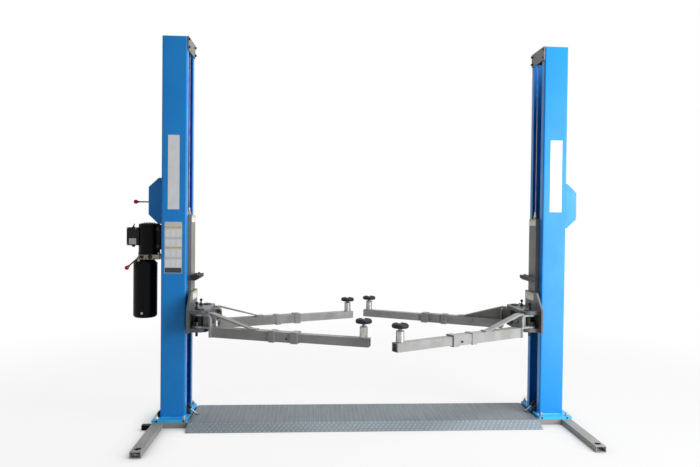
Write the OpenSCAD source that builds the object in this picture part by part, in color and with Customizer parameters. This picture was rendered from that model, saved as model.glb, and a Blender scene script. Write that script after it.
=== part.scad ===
// Two post car lift with a floor plate, carriages with swinging two stage arms and a power unit.
// X runs across the bay to the right, Y along the bay away from the front, Z up.
// The origin is on the ground, midway between the two columns.

/* [Columns] */
// Height of the lift above the ground
column_top = 2824; // [2700:10:3000]
// Clear width between the inner faces of the columns
bay_w = 2640; // [2500:10:2800]
// Depth of a column along the bay
column_d = 280; // [260:5:320]
// Width of a column across the bay
column_w = 180; // [160:5:200]
// Thickness of the folded column sheet
column_t = 6; // [5:0.5:8]
// Outer radius of the column folds
column_fold_r = 12; // [9:1:16]
// Width of the slot that the carriage runs in
slot_w = 166; // [156:2:180]

/* [Base] */
// Height of the leg tubes and the edge tubes
leg_h = 40; // [40:1:60]
// Width of a leg tube
leg_w = 70; // [60:2:80]
// How far a leg tube reaches to the front from the middle of the column
leg_front = 767; // [700:2:850]
// How far a leg tube reaches to the back from the middle of the column
leg_back = 520; // [440:2:540]
// Wall of the leg tubes and the edge tubes
leg_t = 4; // [3:0.5:6]
// Distance from the leg end to its fixing hole
leg_hole_inset = 55; // [40:1:90]
// Radius of the fixing hole in a leg
leg_hole_r = 22; // [15:1:25]
// Thickness of the base plate under a column
base_t = 18; // [14:1:25]
// Length of the base plate along the bay
base_d = 408; // [360:4:440]
// How far the base plate reaches past the column into the bay
base_inner = 23; // [15:1:40]
// How far the base plate reaches past the column's outer face
base_outer = 45; // [30:1:60]
// Width of an edge tube under the base plate
edge_tube_w = 40; // [30:1:60]
// Gap from the base plate to the end of the floor plate
floor_gap = 11; // [5:1:25]
// Thickness of the floor plate sheet
floor_t = 5; // [4:0.5:8]
// Length of the flat part of the floor plate along the bay
floor_flat = 430; // [360:10:500]
// Length of each ramp along the bay
floor_ramp = 100; // [80:5:140]

/* [Carriages] */
// Height of the underside of the carriage in the pose shown
carriage_z = 690; // [640:5:760]
// Length of the carriage
carriage_l = 842; // [760:2:900]
// Width of the carriage along the bay
carriage_w = 148; // [136:1:152]
// How far the carriage face stands into the bay from the column lips
carriage_proud = 25; // [20:1:40]
// Thickness of the carriage walls
carriage_t = 8; // [6:1:12]
// Length of a slide block
block_l = 110; // [80:5:160]
// Clearance of the slide blocks to the column walls
block_gap = 0.5; // [0.3:0.1:1]
// Half width of the yoke plate
yoke_half = 255; // [240:5:280]
// Distance from the middle to the front corner of the yoke plate's top edge
yoke_top_front = 140; // [110:5:160]
// Distance from the middle to the back edge of the yoke plate's upper part
yoke_top_back = 100; // [90:5:130]
// Height of the yoke plate
yoke_h = 284; // [260:2:300]
// Height of the straight sides of the yoke plate
yoke_side_h = 168; // [165:1:190]
// Thickness of the yoke plate
yoke_t = 14; // [10:1:20]
// Thickness of the lower fork plate
fork_low_t = 28; // [20:1:32]
// Thickness of the upper fork plate
fork_top_t = 24; // [16:1:28]
// Height of the upper face of the fork above the carriage underside
fork_h = 156; // [150:1:165]
// Radius of the fork round an arm pin
fork_r = 62; // [56:1:66]
// Length of the door guard along the bay
guard_w = 194; // [160:2:220]
// How far the door guard stands out of the carriage
guard_d = 62; // [40:2:80]
// Height of the door guard
guard_h = 40; // [30:1:60]
// Height of the door guard's underside above the carriage underside
guard_z = 363; // [340:1:420]

/* [Arms] */
// Distance of the arm pins from the face of the yoke plate
pin_out = 66; // [64:1:70]
// Distance of the arm pins from the middle of the bay along Y
pin_y = 150; // [140:1:160]
// Radius of an arm pin
pin_r = 20; // [16:0.5:24]
// Radius of an arm ear round the pin
ear_r = 58; // [50:1:60]
// Thickness of the arm's bent plate and its lower ear
ear_t = 12; // [10:1:16]
// Outer radius of the bend in the arm's plate
bend_r = 30; // [24:1:36]
// Distance from the pin to the arm's end plate
end_plate_r = 95; // [92:1:105]
// Side of the square outer tube of an arm
tube = 70; // [66:1:76]
// Wall of the outer tube
tube_t = 5; // [4:0.5:6]
// Height of the outer tube's underside below the carriage underside
tube_drop = 33; // [25:1:40]
// Distance from the pin to the mouth of the outer tube
mouth_r = 770; // [700:5:800]
// Length of the mouth collar
collar_l = 50; // [40:2:70]
// Thickness of the collar and the band
collar_t = 5; // [4:0.5:7]
// Distance from the pin to the doubler band
band_r = 556; // [500:2:600]
// Length of the doubler band
band_l = 42; // [30:2:60]
// Length of the flat brace along the arm
brace_l = 310; // [260:5:360]
// Width of the flat brace
brace_w = 52; // [30:2:54]
// Thickness of the flat brace
brace_t = 8; // [6:1:12]
// Clearance round the inner tube
inner_gap = 0.4; // [0.3:0.1:1]
// Wall of the inner tube
inner_t = 4; // [3:0.5:6]
// Length of the inner tube
inner_l = 690; // [660:5:700]
// Distance from the tube end to the middle of the pad sleeve
sleeve_inset = 42; // [36:1:60]
// Outer radius of the pad sleeve
sleeve_r = 27; // [24:0.5:27]
// Height of the pad sleeve above the inner tube
sleeve_h = 77; // [60:1:90]
// Radius of the pad screw
screw_r = 13; // [10:0.5:16]
// Length of the pad screw
screw_l = 112; // [100:2:118]
// Radius of the rubber pad
pad_r = 56; // [50:1:62]
// Thickness of the rubber pad
pad_t = 30; // [24:1:40]

/* [Pose shown] */
// Angle of the front left arm to the line across the bay
front_left_angle = 20; // [10:1:35]
// Angle of the back left arm
back_left_angle = 24; // [10:1:35]
// Angle of the front right arm
front_right_angle = 29; // [26:1:35]
// Angle of the back right arm
back_right_angle = 28; // [26:1:35]
// Reach of the front left arm from its pin to its end
front_left_reach = 1275; // [1200:5:1300]
// Reach of the back left arm
back_left_reach = 1266; // [1200:5:1300]
// Reach of the front right arm
front_right_reach = 1240; // [1200:5:1300]
// Reach of the back right arm
back_right_reach = 1305; // [1200:5:1310]
// Gap between sleeve and pad on the front left arm
front_left_gap = 20; // [8:1:40]
// Gap between sleeve and pad on the back left arm
back_left_gap = 10; // [8:1:40]
// Gap between sleeve and pad on the front right arm
front_right_gap = 16; // [8:1:40]
// Gap between sleeve and pad on the back right arm
back_right_gap = 12; // [8:1:40]

/* [Cables and cylinders] */
// Radius of an equalising cable
cable_r = 4.5; // [4:0.5:6]
// Depth of the cable studs behind the column lips
cable_in = 15; // [12:1:20]
// Depth of the falling cable runs behind the column lips
fall_in = 55; // [50:1:58]
// Pitch radius of a top sheave
top_sheave_r = 44; // [40:1:46]
// Pitch radius of a base sheave
base_sheave_r = 34; // [30:1:36]
// Height of the cables under the floor plate
cable_floor_z = 28; // [20:1:29]
// Distance between the two cables at the floor
cable_pitch = 20; // [19:1:24]
// Width of a sheave
sheave_w = 18; // [14:1:18]
// Radius of the base sheave axle
base_axle_r = 10; // [8:1:14]
// Radius of the top sheave axle
top_axle_r = 12; // [8:1:14]
// Outer radius of a lift cylinder
cylinder_r = 36; // [30:1:40]
// Height of a lift cylinder
cylinder_l = 800; // [600:10:830]

/* [Lock covers and levers] */
// How far a lock cover stands out of the column
cover_out = 106; // [90:2:120]
// Height of the underside of a lock cover above the ground
cover_z = 1465; // [1400:5:1500]
// Height of a lock cover
cover_h = 339; // [300:1:380]
// Width of a lock cover along the bay
cover_w = 150; // [120:5:180]
// Thickness of the cover sheet
cover_t = 3; // [2:0.5:4]
// Height of the lock lever above the underside of the cover
lever_up = 163; // [130:1:190]
// Radius of the lever rods
lever_rod_r = 5; // [4:0.5:6]
// Radius of the lever balls
ball_r = 16; // [12:1:20]
// Length of the lock lever from its pivot to the ball
lock_lever_l = 158; // [140:2:180]

/* [Power unit] */
// Distance from the column to the middle of the power unit
unit_out = 145; // [130:1:160]
// Radius of the oil tank
tank_r = 86; // [80:1:92]
// Length of the tank
tank_l = 432; // [380:2:460]
// Height of the pump block
pump_block_h = 36; // [30:1:50]
// Length of the pump block across the bay
pump_block_l = 152; // [150:1:170]
// Width of the pump block along the bay
pump_block_w = 110; // [90:2:130]
// How far the top of the motor stands above the underside of the left lock cover
motor_rise = 6; // [-20:1:8]
// How far the motor's middle lies nearer to the column than the tank's
motor_in = 28; // [20:1:34]
// Radius of the motor
motor_r = 77; // [68:1:80]
// Length of the motor
motor_l = 233; // [200:1:250]
// Width of the switch box across the bay
switch_box_l = 76; // [60:2:90]
// Height of the switch box
switch_box_h = 133; // [110:1:150]
// Width of the switch box along the bay
switch_box_w = 96; // [80:2:120]
// Length of the lowering lever from its pivot to the ball
lowering_lever_l = 120; // [100:2:140]

/* [Hidden] */
$fn = 48;

column_paint = "#237dc8";
arm_paint = "#8b8a86";
bright_zinc = "#c9c6bb";
black_enamel = "#17191b";
dark_rubber = "#23272d";
signal_red = "#b3141c";
plate_grey = "#7d878c";

// Heights that the pieces share
base_top = leg_h + base_t;
lip_x = bay_w / 2;
column_out_x = lip_x + column_w;
face_x = lip_x - carriage_proud;
yoke_face_x = face_x - yoke_t;
pin_x = yoke_face_x - pin_out;
leg_mid_x = column_out_x + base_outer - leg_w / 2 - 8;
base_in_x = lip_x - base_inner;
floor_end_x = base_in_x - floor_gap;

// Clearances
run_fit = 0.05;
part_gap = 0.2;
fork_play = 2;

// Cables: the run from a carriage stud goes up, over the top sheave and down to the base sheave
cable_x = lip_x + cable_in;
fall_x = lip_x + fall_in;
left_fall_y = -52;
right_fall_y = left_fall_y + cable_pitch;
rope_groove = 6;
top_sheave_drop = 54;
top_sheave_z = column_top - top_sheave_drop;
base_sheave_x = fall_x - base_sheave_r;
sheave_turn = asin((fall_x - cable_x) / (2 * top_sheave_r));
stud_dy = 2 * top_sheave_r * cos(sheave_turn);
base_sheave_z = cable_floor_z + base_sheave_r;
cable_low_z = 990;
cable_high_z = 1500;
sheave_slack = 3;
sheave_side = 2;
lug_t = 6;
top_bracket_t = 8;
top_bracket_h = 100;

// Fork and arm levels
fork_low_top = carriage_z + fork_low_t;
fork_top_low = carriage_z + fork_h - fork_top_t;
ear_low_z = fork_low_top + fork_play;
ear_top_z = fork_top_low - fork_play;
tube_z = carriage_z - tube_drop;
tube_mid_z = tube_z + tube / 2;
inner = tube - 2 * tube_t - 2 * inner_gap;
inner_top_z = tube_mid_z + inner / 2;
sleeve_top_z = inner_top_z + sleeve_h;
ear_half = tube / 2 + 10;

// Arm lock rods
rod_r = 8;
rod_x = pin_x + 35;
rod_y = 90;
rod_bore_r = rod_r + 0.1;
knob_r = 11;
neck_r = 5;
rod_below = 40;
rod_above = 52;

// Power unit places
unit_x = column_out_x + unit_out;
motor_z = cover_z + motor_rise - motor_l;
block_z = motor_z - pump_block_h;
tank_z = block_z - tank_l;
flange_h = 12;
motor_x = unit_x - motor_in;
block_shift = 10;
block_x0 = motor_x - pump_block_l / 2 - block_shift;
switch_box_up = 67;
switch_box_z = motor_z + switch_box_up;
bracket_t = 8;
stud_r = 11;
stud_h = 58;

// Levers
lever_pin_r = 5;
lever_boss_r = 9;
lever_z = cover_z + lever_up;
lever_pivot_out = 60;
lowering_inset = 12;
lowering_drop = 14;
lowering_x = block_x0 + pump_block_l - lowering_inset;
lowering_z = block_z + pump_block_h - lowering_drop;
lowering_angle = 43;
lowering_boss_w = 14;
lowering_out = 16;
lowering_y = -pump_block_w / 2 - lowering_out - lowering_boss_w / 2;

module left_side() { mirror([1, 0, 0]) children(); }
module back_end() { mirror([0, 1, 0]) children(); }

// Upright prism from a section drawn in the XZ plane, centred on Y
module across_y(w) { translate([0, w / 2, 0]) rotate([90, 0, 0]) linear_extrude(w) children(); }

// Plate from an outline drawn in the YZ plane, from x0 outwards
module plate_x(x0, t) { translate([x0, 0, 0]) rotate([90, 0, 90]) linear_extrude(t) children(); }

// Rectangle with true round corners
module round_rect(w, d, r) {
  square([w - 2 * r, d], center = true);
  square([w, d - 2 * r], center = true);
  for (sx = [-1, 1], sy = [-1, 1]) translate([sx * (w / 2 - r), sy * (d / 2 - r)]) circle(r);
}

// Folded C section, open towards the bay
module column() {
  color(column_paint) translate([lip_x + column_w / 2, 0, base_top]) linear_extrude(column_top - base_top)
    difference() {
      round_rect(column_w, column_d, column_fold_r);
      round_rect(column_w - 2 * column_t, column_d - 2 * column_t, column_fold_r - column_t);
      translate([-column_w / 2, 0]) square([4 * column_t, slot_w], center = true);
    }
}

module base_plate() {
  plate_w = base_inner + column_w + base_outer;
  color(column_paint) difference() {
    translate([base_in_x, -base_d / 2, leg_h]) cube([plate_w, base_d, base_t]);
    sheave_slot();
  }
}

// Open slot in a base plate for the base sheaves and the cables
module sheave_slot() {
  slot_x0 = base_in_x - 1;
  slot_x1 = fall_x + rope_groove + sheave_slack;
  slot_y0 = left_fall_y - sheave_w / 2 - sheave_side;
  slot_d = cable_pitch + sheave_w + 2 * sheave_side;
  translate([slot_x0, slot_y0, leg_h - 1]) cube([slot_x1 - slot_x0, slot_d, base_t + 2]);
}

// Leg tube along the bay with a fixing hole near each end
module leg() {
  leg_l = leg_front + leg_back;
  color(plate_grey) translate([leg_mid_x, 0, 0]) difference() {
    translate([-leg_w / 2, -leg_front, 0]) cube([leg_w, leg_l, leg_h]);
    translate([-leg_w / 2 + leg_t, -leg_front - 1, leg_t])
      cube([leg_w - 2 * leg_t, leg_l + 2, leg_h - 2 * leg_t]);
    for (y = [-leg_front + leg_hole_inset, leg_back - leg_hole_inset])
      translate([0, y, -1]) cylinder(h = leg_h + 2, r = leg_hole_r);
  }
}

// Square tubes under the front and back edges of the base plate
module edge_tubes() {
  tube_x1 = leg_mid_x - leg_w / 2;
  for (end = [-1, 1]) color(plate_grey)
    translate([floor_end_x, end * (base_d - edge_tube_w) / 2 - edge_tube_w / 2, 0]) difference() {
      cube([tube_x1 - floor_end_x, edge_tube_w, leg_h]);
      translate([-1, leg_t, leg_t])
        cube([tube_x1 - floor_end_x + 2, edge_tube_w - 2 * leg_t, leg_h - 2 * leg_t]);
    }
}

// Folded sheet between the columns, with a ramp down at the front and the back
module floor_plate() {
  f = floor_flat / 2;
  foot = f + floor_ramp;
  slope = floor_ramp / leg_h;
  under_f = f - floor_t / 2;
  under_foot = foot - floor_t * slope;
  under_z = leg_h - floor_t;
  color(plate_grey) plate_x(-floor_end_x, 2 * floor_end_x)
    polygon([[-foot, 0], [-f, leg_h], [f, leg_h], [foot, 0],
      [under_foot, 0], [under_f, under_z], [-under_f, under_z], [-under_foot, 0]]);
}

// Frame at the middle of a top sheave, with Z along its axle away from the bay
module at_top_sheave(fall_y) {
  translate([(cable_x + fall_x) / 2, fall_y + stud_dy / 2, top_sheave_z]) rotate([0, 0, sheave_turn])
    rotate([0, 90, 0]) children();
}

// Bracket across the slot with the axle of the top sheave
module top_bracket(fall_y) {
  bracket_back = 14;
  sheave_mid_x = (cable_x + fall_x) / 2;
  axle_in = (sheave_mid_x - lip_x + lug_t / 2) / cos(sheave_turn);
  color(arm_paint) {
    translate([lip_x - top_bracket_t, -column_d / 2 + 2, column_top + 4 - top_bracket_h])
      cube([top_bracket_t, column_d - 2 - bracket_back, top_bracket_h]);
    at_top_sheave(fall_y) translate([0, 0, -axle_in])
      cylinder(h = axle_in + sheave_w / 2 + lug_t, r = top_axle_r);
  }
}

// Grooved sheave turned about Z
module sheave(pitch_r, bore_r) {
  rim_r = pitch_r + rope_groove;
  rotate_extrude() difference() {
    translate([bore_r, -sheave_w / 2]) square([rim_r - bore_r, sheave_w]);
    translate([pitch_r, 0]) circle(cable_r + part_gap);
    translate([pitch_r, -cable_r - part_gap]) square([rope_groove + 1, 2 * (cable_r + part_gap)]);
  }
}

module top_sheave(fall_y) {
  color(black_enamel) at_top_sheave(fall_y) sheave(top_sheave_r, top_axle_r + run_fit);
}

module base_sheaves() {
  for (y = [left_fall_y, right_fall_y]) color(black_enamel)
    translate([base_sheave_x, y, base_sheave_z]) rotate([90, 0, 0])
      sheave(base_sheave_r, base_axle_r + run_fit);
}

// One equalising cable, from its stud on the near carriage to the far carriage
module cable_run(fall_y) {
  stud_y = fall_y + stud_dy;
  bent_r = cable_r + 0.1;
  join = 0.5;
  color(bright_zinc) {
    translate([cable_x, stud_y, cable_low_z]) cylinder(h = top_sheave_z + join - cable_low_z, r = cable_r);
    at_top_sheave(fall_y) rotate([0, 0, 90])
      rotate_extrude(angle = 180) translate([top_sheave_r, 0]) circle(bent_r);
    translate([fall_x, fall_y, base_sheave_z - join])
      cylinder(h = top_sheave_z - base_sheave_z + 2 * join, r = cable_r);
    for (side = [0, 1]) mirror([side, 0, 0])
      translate([base_sheave_x, fall_y, base_sheave_z]) rotate([90, 0, 0]) rotate([0, 0, -90])
        rotate_extrude(angle = 90) translate([base_sheave_r, 0]) circle(bent_r);
    translate([-base_sheave_x - join, fall_y, cable_floor_z]) rotate([0, 90, 0])
      cylinder(h = 2 * (base_sheave_x + join), r = cable_r);
    translate([-fall_x, fall_y, base_sheave_z - join])
      cylinder(h = cable_high_z - base_sheave_z + join, r = cable_r);
  }
}

// Lugs and axle of the two base sheaves
module base_sheave_mount() {
  slot_y0 = left_fall_y - sheave_w / 2 - sheave_side;
  slot_y1 = right_fall_y + sheave_w / 2 + sheave_side;
  lug_half = base_axle_r + lug_t;
  color(column_paint) {
    for (y = [slot_y0 - lug_t, slot_y1]) translate([base_sheave_x - lug_half, y, leg_h])
      cube([2 * lug_half, lug_t, base_sheave_z + lug_half - leg_h]);
    translate([base_sheave_x, slot_y1 + lug_t, base_sheave_z]) rotate([90, 0, 0])
      cylinder(h = slot_y1 - slot_y0 + 2 * lug_t, r = base_axle_r);
  }
}

// Lift cylinder on the base plate, inside the carriage
module lift_cylinder() {
  gland_h = 20;
  rod_show = 50;
  color(black_enamel) translate([lip_x + column_w / 2, 0, base_top]) {
    cylinder(h = cylinder_l, r = cylinder_r);
    translate([0, 0, cylinder_l]) cylinder(h = gland_h, r = cylinder_r + 2);
    translate([0, 0, cylinder_l + gland_h]) cylinder(h = rod_show, r = cylinder_r / 2);
  }
}

// Outline of a lock cover in the XZ plane, d inside the outer faces
module cover_outline(d) {
  slope_in = 34;
  slope_h = 69;
  corner_in = d * 0.6;
  knee_x = slope_in - corner_in;
  front_x = cover_out - d;
  polygon([[0, d], [knee_x, d], [front_x, slope_h + corner_in], [front_x, cover_h - slope_h - corner_in],
    [knee_x, cover_h - d], [0, cover_h - d]]);
}

// Sheet cover over the lock mechanism, open at the column
module lock_cover(has_lever) {
  slot_h = 46;
  slot_over = 15;
  slot_d = 22;
  color(column_paint) translate([column_out_x, 0, cover_z]) difference() {
    across_y(cover_w) cover_outline(0);
    translate([-1, 0, 0]) across_y(cover_w - 2 * cover_t) cover_outline(cover_t);
    if (has_lever) translate([cover_out - 2 * cover_t, -slot_d / 2, lever_up - slot_h + slot_over])
      cube([3 * cover_t, slot_d, slot_h]);
  }
  if (has_lever) color(bright_zinc)
    translate([column_out_x + lever_pivot_out, cover_w / 2 - cover_t, lever_z])
      rotate([90, 0, 0]) cylinder(h = cover_w - 2 * cover_t, r = lever_pin_r);
}

// Rod with a boss at its pivot and a ball at its end, along +X from the pivot
module lever(l, boss_w) {
  color(black_enamel) rotate([90, 0, 0]) difference() {
    union() {
      translate([0, 0, -boss_w / 2]) cylinder(h = boss_w, r = lever_boss_r);
      rotate([0, 90, 0]) cylinder(h = l, r = lever_rod_r);
    }
    translate([0, 0, -boss_w]) cylinder(h = 2 * boss_w, r = lever_pin_r + run_fit);
  }
  color(signal_red) translate([l, 0, 0]) sphere(ball_r);
}

// Folded bracket on the column that holds the motor by its two flanges
module pump_bracket() {
  bracket_h = 183;
  bracket_up = 37;
  bracket_z = motor_z + bracket_up;
  bracket_l = motor_x - column_out_x - motor_r / 2;
  flange_y = 46;
  color(black_enamel) difference() {
    translate([column_out_x, -flange_y, bracket_z]) cube([bracket_l, 2 * flange_y, bracket_h]);
    translate([column_out_x + bracket_t, -flange_y + bracket_t, bracket_z - 1])
      cube([bracket_l, 2 * (flange_y - bracket_t), bracket_h + 2]);
    translate([motor_x, 0, bracket_z - 1]) cylinder(h = bracket_h + 2, r = motor_r + part_gap);
  }
}

// Tank with a rounded bottom and a sloped shoulder
module oil_tank() {
  edge = 22;
  neck_r = 60;
  shoulder_h = 26;
  color(black_enamel) translate([unit_x, 0, tank_z]) rotate_extrude() {
    translate([0, 0]) square([tank_r - edge, edge]);
    translate([tank_r - edge, edge]) intersection() {
      circle(edge);
      translate([0, -edge]) square(edge);
    }
    translate([0, edge]) square([tank_r, tank_l - edge - shoulder_h]);
    translate([0, tank_l - shoulder_h]) polygon([[0, 0], [tank_r, 0], [neck_r, shoulder_h], [0, shoulder_h]]);
  }
}

module pump_block() {
  pin_l = lowering_out + lowering_boss_w + 2;
  color(bright_zinc) {
    translate([block_x0, -pump_block_w / 2, block_z]) cube([pump_block_l, pump_block_w, pump_block_h]);
    translate([lowering_x, -pump_block_w / 2, lowering_z]) rotate([90, 0, 0])
      cylinder(h = pin_l, r = lever_pin_r);
  }
}

module pump_motor() {
  cap_h = 6;
  dome_r = 48;
  color(black_enamel) translate([motor_x, 0, motor_z]) {
    cylinder(h = flange_h, r = motor_r + 3);
    translate([0, 0, flange_h]) cylinder(h = motor_l - flange_h - 2 * cap_h, r = motor_r);
    translate([0, 0, motor_l - 2 * cap_h]) cylinder(h = cap_h, r1 = motor_r, r2 = motor_r - cap_h / 2);
    translate([0, 0, motor_l - cap_h]) cylinder(h = cap_h, r1 = motor_r - cap_h / 2, r2 = dome_r);
  }
}

module motor_switch_box() {
  color(black_enamel) difference() {
    translate([motor_x + motor_r - 12, -switch_box_w / 2, switch_box_z])
      cube([switch_box_l + 12, switch_box_w, switch_box_h]);
    translate([motor_x, 0, switch_box_z - 1]) cylinder(h = switch_box_h + 2, r = motor_r + part_gap);
  }
}

// Channel that runs in the column slot, with the cable stud on its top plate
module carriage(fall_y) {
  stud_y = fall_y + stud_dy;
  back_x = column_out_x - column_t - 24;
  top_z = carriage_z + carriage_l;
  in_half = carriage_w / 2 - carriage_t;
  fall_hole = 24;
  fall_hole_y = 14;
  nut_h = 16;
  color(arm_paint) {
    difference() {
      translate([face_x, -carriage_w / 2, carriage_z]) cube([back_x - face_x, carriage_w, carriage_l]);
      translate([face_x + carriage_t, -in_half, carriage_z - 1])
        cube([back_x, 2 * in_half, carriage_l - carriage_t + 1]);
      translate([cable_x, stud_y, top_z - 2 * carriage_t]) cylinder(h = 3 * carriage_t, r = cable_r + 5);
      translate([fall_x - fall_hole / 2, -in_half, top_z - 2 * carriage_t])
        cube([fall_hole, in_half - fall_hole_y, 3 * carriage_t]);
    }
    translate([cable_x, stud_y, top_z]) difference() {
      union() {
        cylinder(h = stud_h, r = stud_r);
        cylinder(h = nut_h, r = stud_r + 6, $fn = 6);
      }
      translate([0, 0, -1]) cylinder(h = stud_h + 2, r = cable_r + 2);
    }
  }
}

// Nylon blocks that bear on the column walls
module slide_blocks() {
  x0 = lip_x + column_t + block_gap;
  x1 = column_out_x - column_t - block_gap;
  y0 = carriage_w / 2;
  y1 = column_d / 2 - column_t - block_gap;
  c = column_fold_r - column_t + 2;
  for (end = [0, 1], z = [carriage_z + 20, carriage_z + carriage_l - 20 - block_l]) color(bright_zinc)
    mirror([0, end, 0]) translate([0, 0, z]) linear_extrude(block_l)
      polygon([[x0, y0], [x1, y0], [x1, y1 - c], [x1 - c, y1], [x0 + c, y1], [x0, y1 - c]]);
}

// Outline of a fork plate round both arm pins
module fork_outline() {
  difference() {
    union() {
      translate([pin_x, -pin_y - fork_r]) square([yoke_face_x - pin_x, 2 * (pin_y + fork_r)]);
      translate([pin_x - fork_r, -pin_y]) square([fork_r, 2 * pin_y]);
      for (end = [-1, 1]) translate([pin_x, end * pin_y]) circle(fork_r);
    }
    for (end = [-1, 1]) {
      translate([pin_x, end * pin_y]) circle(pin_r + run_fit);
      translate([rod_x, end * rod_y]) circle(rod_bore_r);
    }
  }
}

// Plate on the carriage face with the two fork plates and the webs between them
module arm_yoke() {
  web_t = 12;
  web_y = 40;
  step_z = carriage_z + fork_h + 2;
  color(arm_paint) {
    plate_x(yoke_face_x, yoke_t) polygon([[-yoke_half, carriage_z - 2], [yoke_half, carriage_z - 2],
      [yoke_half, step_z], [yoke_top_back, step_z],
      [yoke_top_back, carriage_z + yoke_h], [-yoke_top_front, carriage_z + yoke_h],
      [-yoke_half, carriage_z + yoke_side_h]]);
    translate([0, 0, carriage_z]) linear_extrude(fork_low_t) fork_outline();
    translate([0, 0, fork_top_low]) linear_extrude(fork_top_t) fork_outline();
    for (end = [-1, 1]) translate([pin_x - fork_r / 2, end * web_y - web_t / 2, fork_low_top])
      cube([yoke_face_x - pin_x + fork_r / 2, web_t, fork_top_low - fork_low_top]);
  }
}

module arm_pins() {
  head_h = 6;
  for (end = [-1, 1]) color(black_enamel) translate([pin_x, end * pin_y, carriage_z]) {
    cylinder(h = fork_h, r = pin_r);
    translate([0, 0, fork_h]) cylinder(h = head_h, r = pin_r + 10);
  }
}

// Rubber faced guard for the car door, with a sloped underside
module door_guard() {
  color(dark_rubber) translate([face_x - guard_d, 0, carriage_z + guard_z]) across_y(guard_w)
    polygon([[guard_d, 0], [guard_d, guard_h], [0, guard_h], [0, guard_h * 0.4], [guard_d * 0.4, 0]]);
}

// Pull rod that locks an arm, with a ball knob
module lock_rod() {
  block_h = 26;
  block_w = 34;
  block_d = 22;
  block_up = 20;
  tooth = 4;
  to_pin = atan2(pin_y - rod_y, rod_x - pin_x);
  collar_z = fork_h + part_gap;
  collar_r = rod_r + 4;
  collar_h = 8;
  cone_h = 14;
  color(black_enamel) translate([rod_x, -rod_y, carriage_z]) {
    translate([0, 0, -rod_below]) cylinder(h = rod_below + collar_z + collar_h, r = rod_r);
    translate([0, 0, fork_low_t + block_up]) rotate([0, 0, to_pin]) linear_extrude(block_h)
      translate([-block_d / 2 + tooth, 0]) {
        translate([0, -block_w / 2]) square([block_d - tooth, block_w]);
        for (i = [-1.5:1:1.5]) translate([0, i * 2 * tooth])
          polygon([[1, -tooth], [0, -tooth], [-tooth, -tooth / 3],
            [-tooth, tooth / 3], [0, tooth], [1, tooth]]);
      }
    translate([0, 0, collar_z]) cylinder(h = collar_h, r = collar_r);
    translate([0, 0, collar_z + collar_h]) cylinder(h = cone_h, r1 = collar_r, r2 = neck_r);
    translate([0, 0, collar_z + collar_h]) cylinder(h = rod_above - collar_h - knob_r, r = neck_r);
    translate([0, 0, fork_h + rod_above - knob_r]) sphere(knob_r);
  }
}

// Boss round the pin, web and toothed sector between an arm's ears
module arm_root() {
  boss_r = 28;
  web_t = 10;
  teeth = 12;
  tip_r = 50;
  tooth_h = 5;
  sector_t = 31;
  root_r = tip_r - tooth_h;
  step = 180 / teeth;
  root_z = ear_low_z + ear_t - 1;
  root_h = ear_top_z - ear_t + 1 - root_z;
  translate([0, 0, root_z]) {
    cylinder(h = root_h, r = boss_r);
    translate([-end_plate_r - 1, -web_t / 2, 0]) cube([end_plate_r - boss_r + 4, web_t, root_h]);
    linear_extrude(sector_t) {
      intersection() {
        circle(root_r);
        translate([0, -root_r]) square([root_r, 2 * root_r]);
      }
      for (i = [0:teeth - 1]) rotate([0, 0, (i + 0.5) * step - 90])
        polygon([[root_r - 1, -root_r * sin(step / 3)], [tip_r, -tip_r * sin(step / 7)],
          [tip_r, tip_r * sin(step / 7)], [root_r - 1, root_r * sin(step / 3)]]);
    }
  }
}

// Bent plate, lower ear, brace and outer tube of an arm, pointing along -X from its pin
module arm() {
  tube_top = tube_z + tube;
  face_r = end_plate_r + ear_t;
  hole_r = 16;
  brace_x0 = -ear_r - 12;
  brace_x1 = -face_r - brace_l;
  brace_flat = 40;
  color(arm_paint) difference() {
    union() {
      for (z = [ear_low_z, ear_top_z - ear_t]) translate([0, 0, z]) linear_extrude(ear_t) {
        circle(ear_r);
        ear_x0 = -end_plate_r + (z == ear_low_z ? 0 : bend_r - ear_t);
        translate([ear_x0, -ear_half]) square([-ear_x0, 2 * ear_half]);
      }
      translate([bend_r - face_r, 0, ear_top_z - bend_r]) across_y(2 * ear_half)
        intersection() {
          difference() {
            circle(bend_r);
            circle(bend_r - ear_t);
          }
          translate([-bend_r, 0]) square(bend_r);
        }
      translate([-face_r, -ear_half, tube_z]) cube([ear_t, 2 * ear_half, ear_top_z - bend_r - tube_z]);
      translate([-mouth_r, -tube / 2, tube_z]) cube([mouth_r - face_r, tube, tube]);
      square_band(mouth_r, collar_l);
      square_band(band_r + band_l, band_l);
      arm_root();
      across_y(brace_w) polygon([[brace_x0, ear_top_z], [brace_x0, ear_top_z + brace_t],
        [-face_r, ear_top_z + brace_t], [brace_x1, tube_top + brace_t],
        [brace_x1 - brace_flat, tube_top + brace_t], [brace_x1 - brace_flat, tube_top],
        [brace_x1, tube_top], [-face_r, ear_top_z - 6]]);
    }
    translate([-mouth_r - 1, -tube / 2 + tube_t, tube_z + tube_t])
      cube([mouth_r - face_r + 1, tube - 2 * tube_t, tube - 2 * tube_t]);
    translate([0, 0, tube_z]) cylinder(h = fork_h + tube_drop, r = pin_r + run_fit);
    for (z = [tube_mid_z, (tube_top + ear_top_z - bend_r) / 2 + 10]) translate([-face_r - 1, 0, z])
      rotate([0, 90, 0]) cylinder(h = ear_t + 2, r = hole_r);
  }
}

// Vertical gusset under the brace of an arm, from its end plate down to the tube
module brace_gusset() {
  gusset_t = 8;
  tube_top = tube_z + tube;
  face_r = end_plate_r + ear_t;
  color(arm_paint) across_y(gusset_t)
    polygon([[-face_r + 1, tube_top - 1], [-face_r + 1, ear_top_z - 3], [-face_r, ear_top_z - 3],
      [-face_r - brace_l, tube_top + 2], [-face_r - brace_l, tube_top - 1]]);
}

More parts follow.
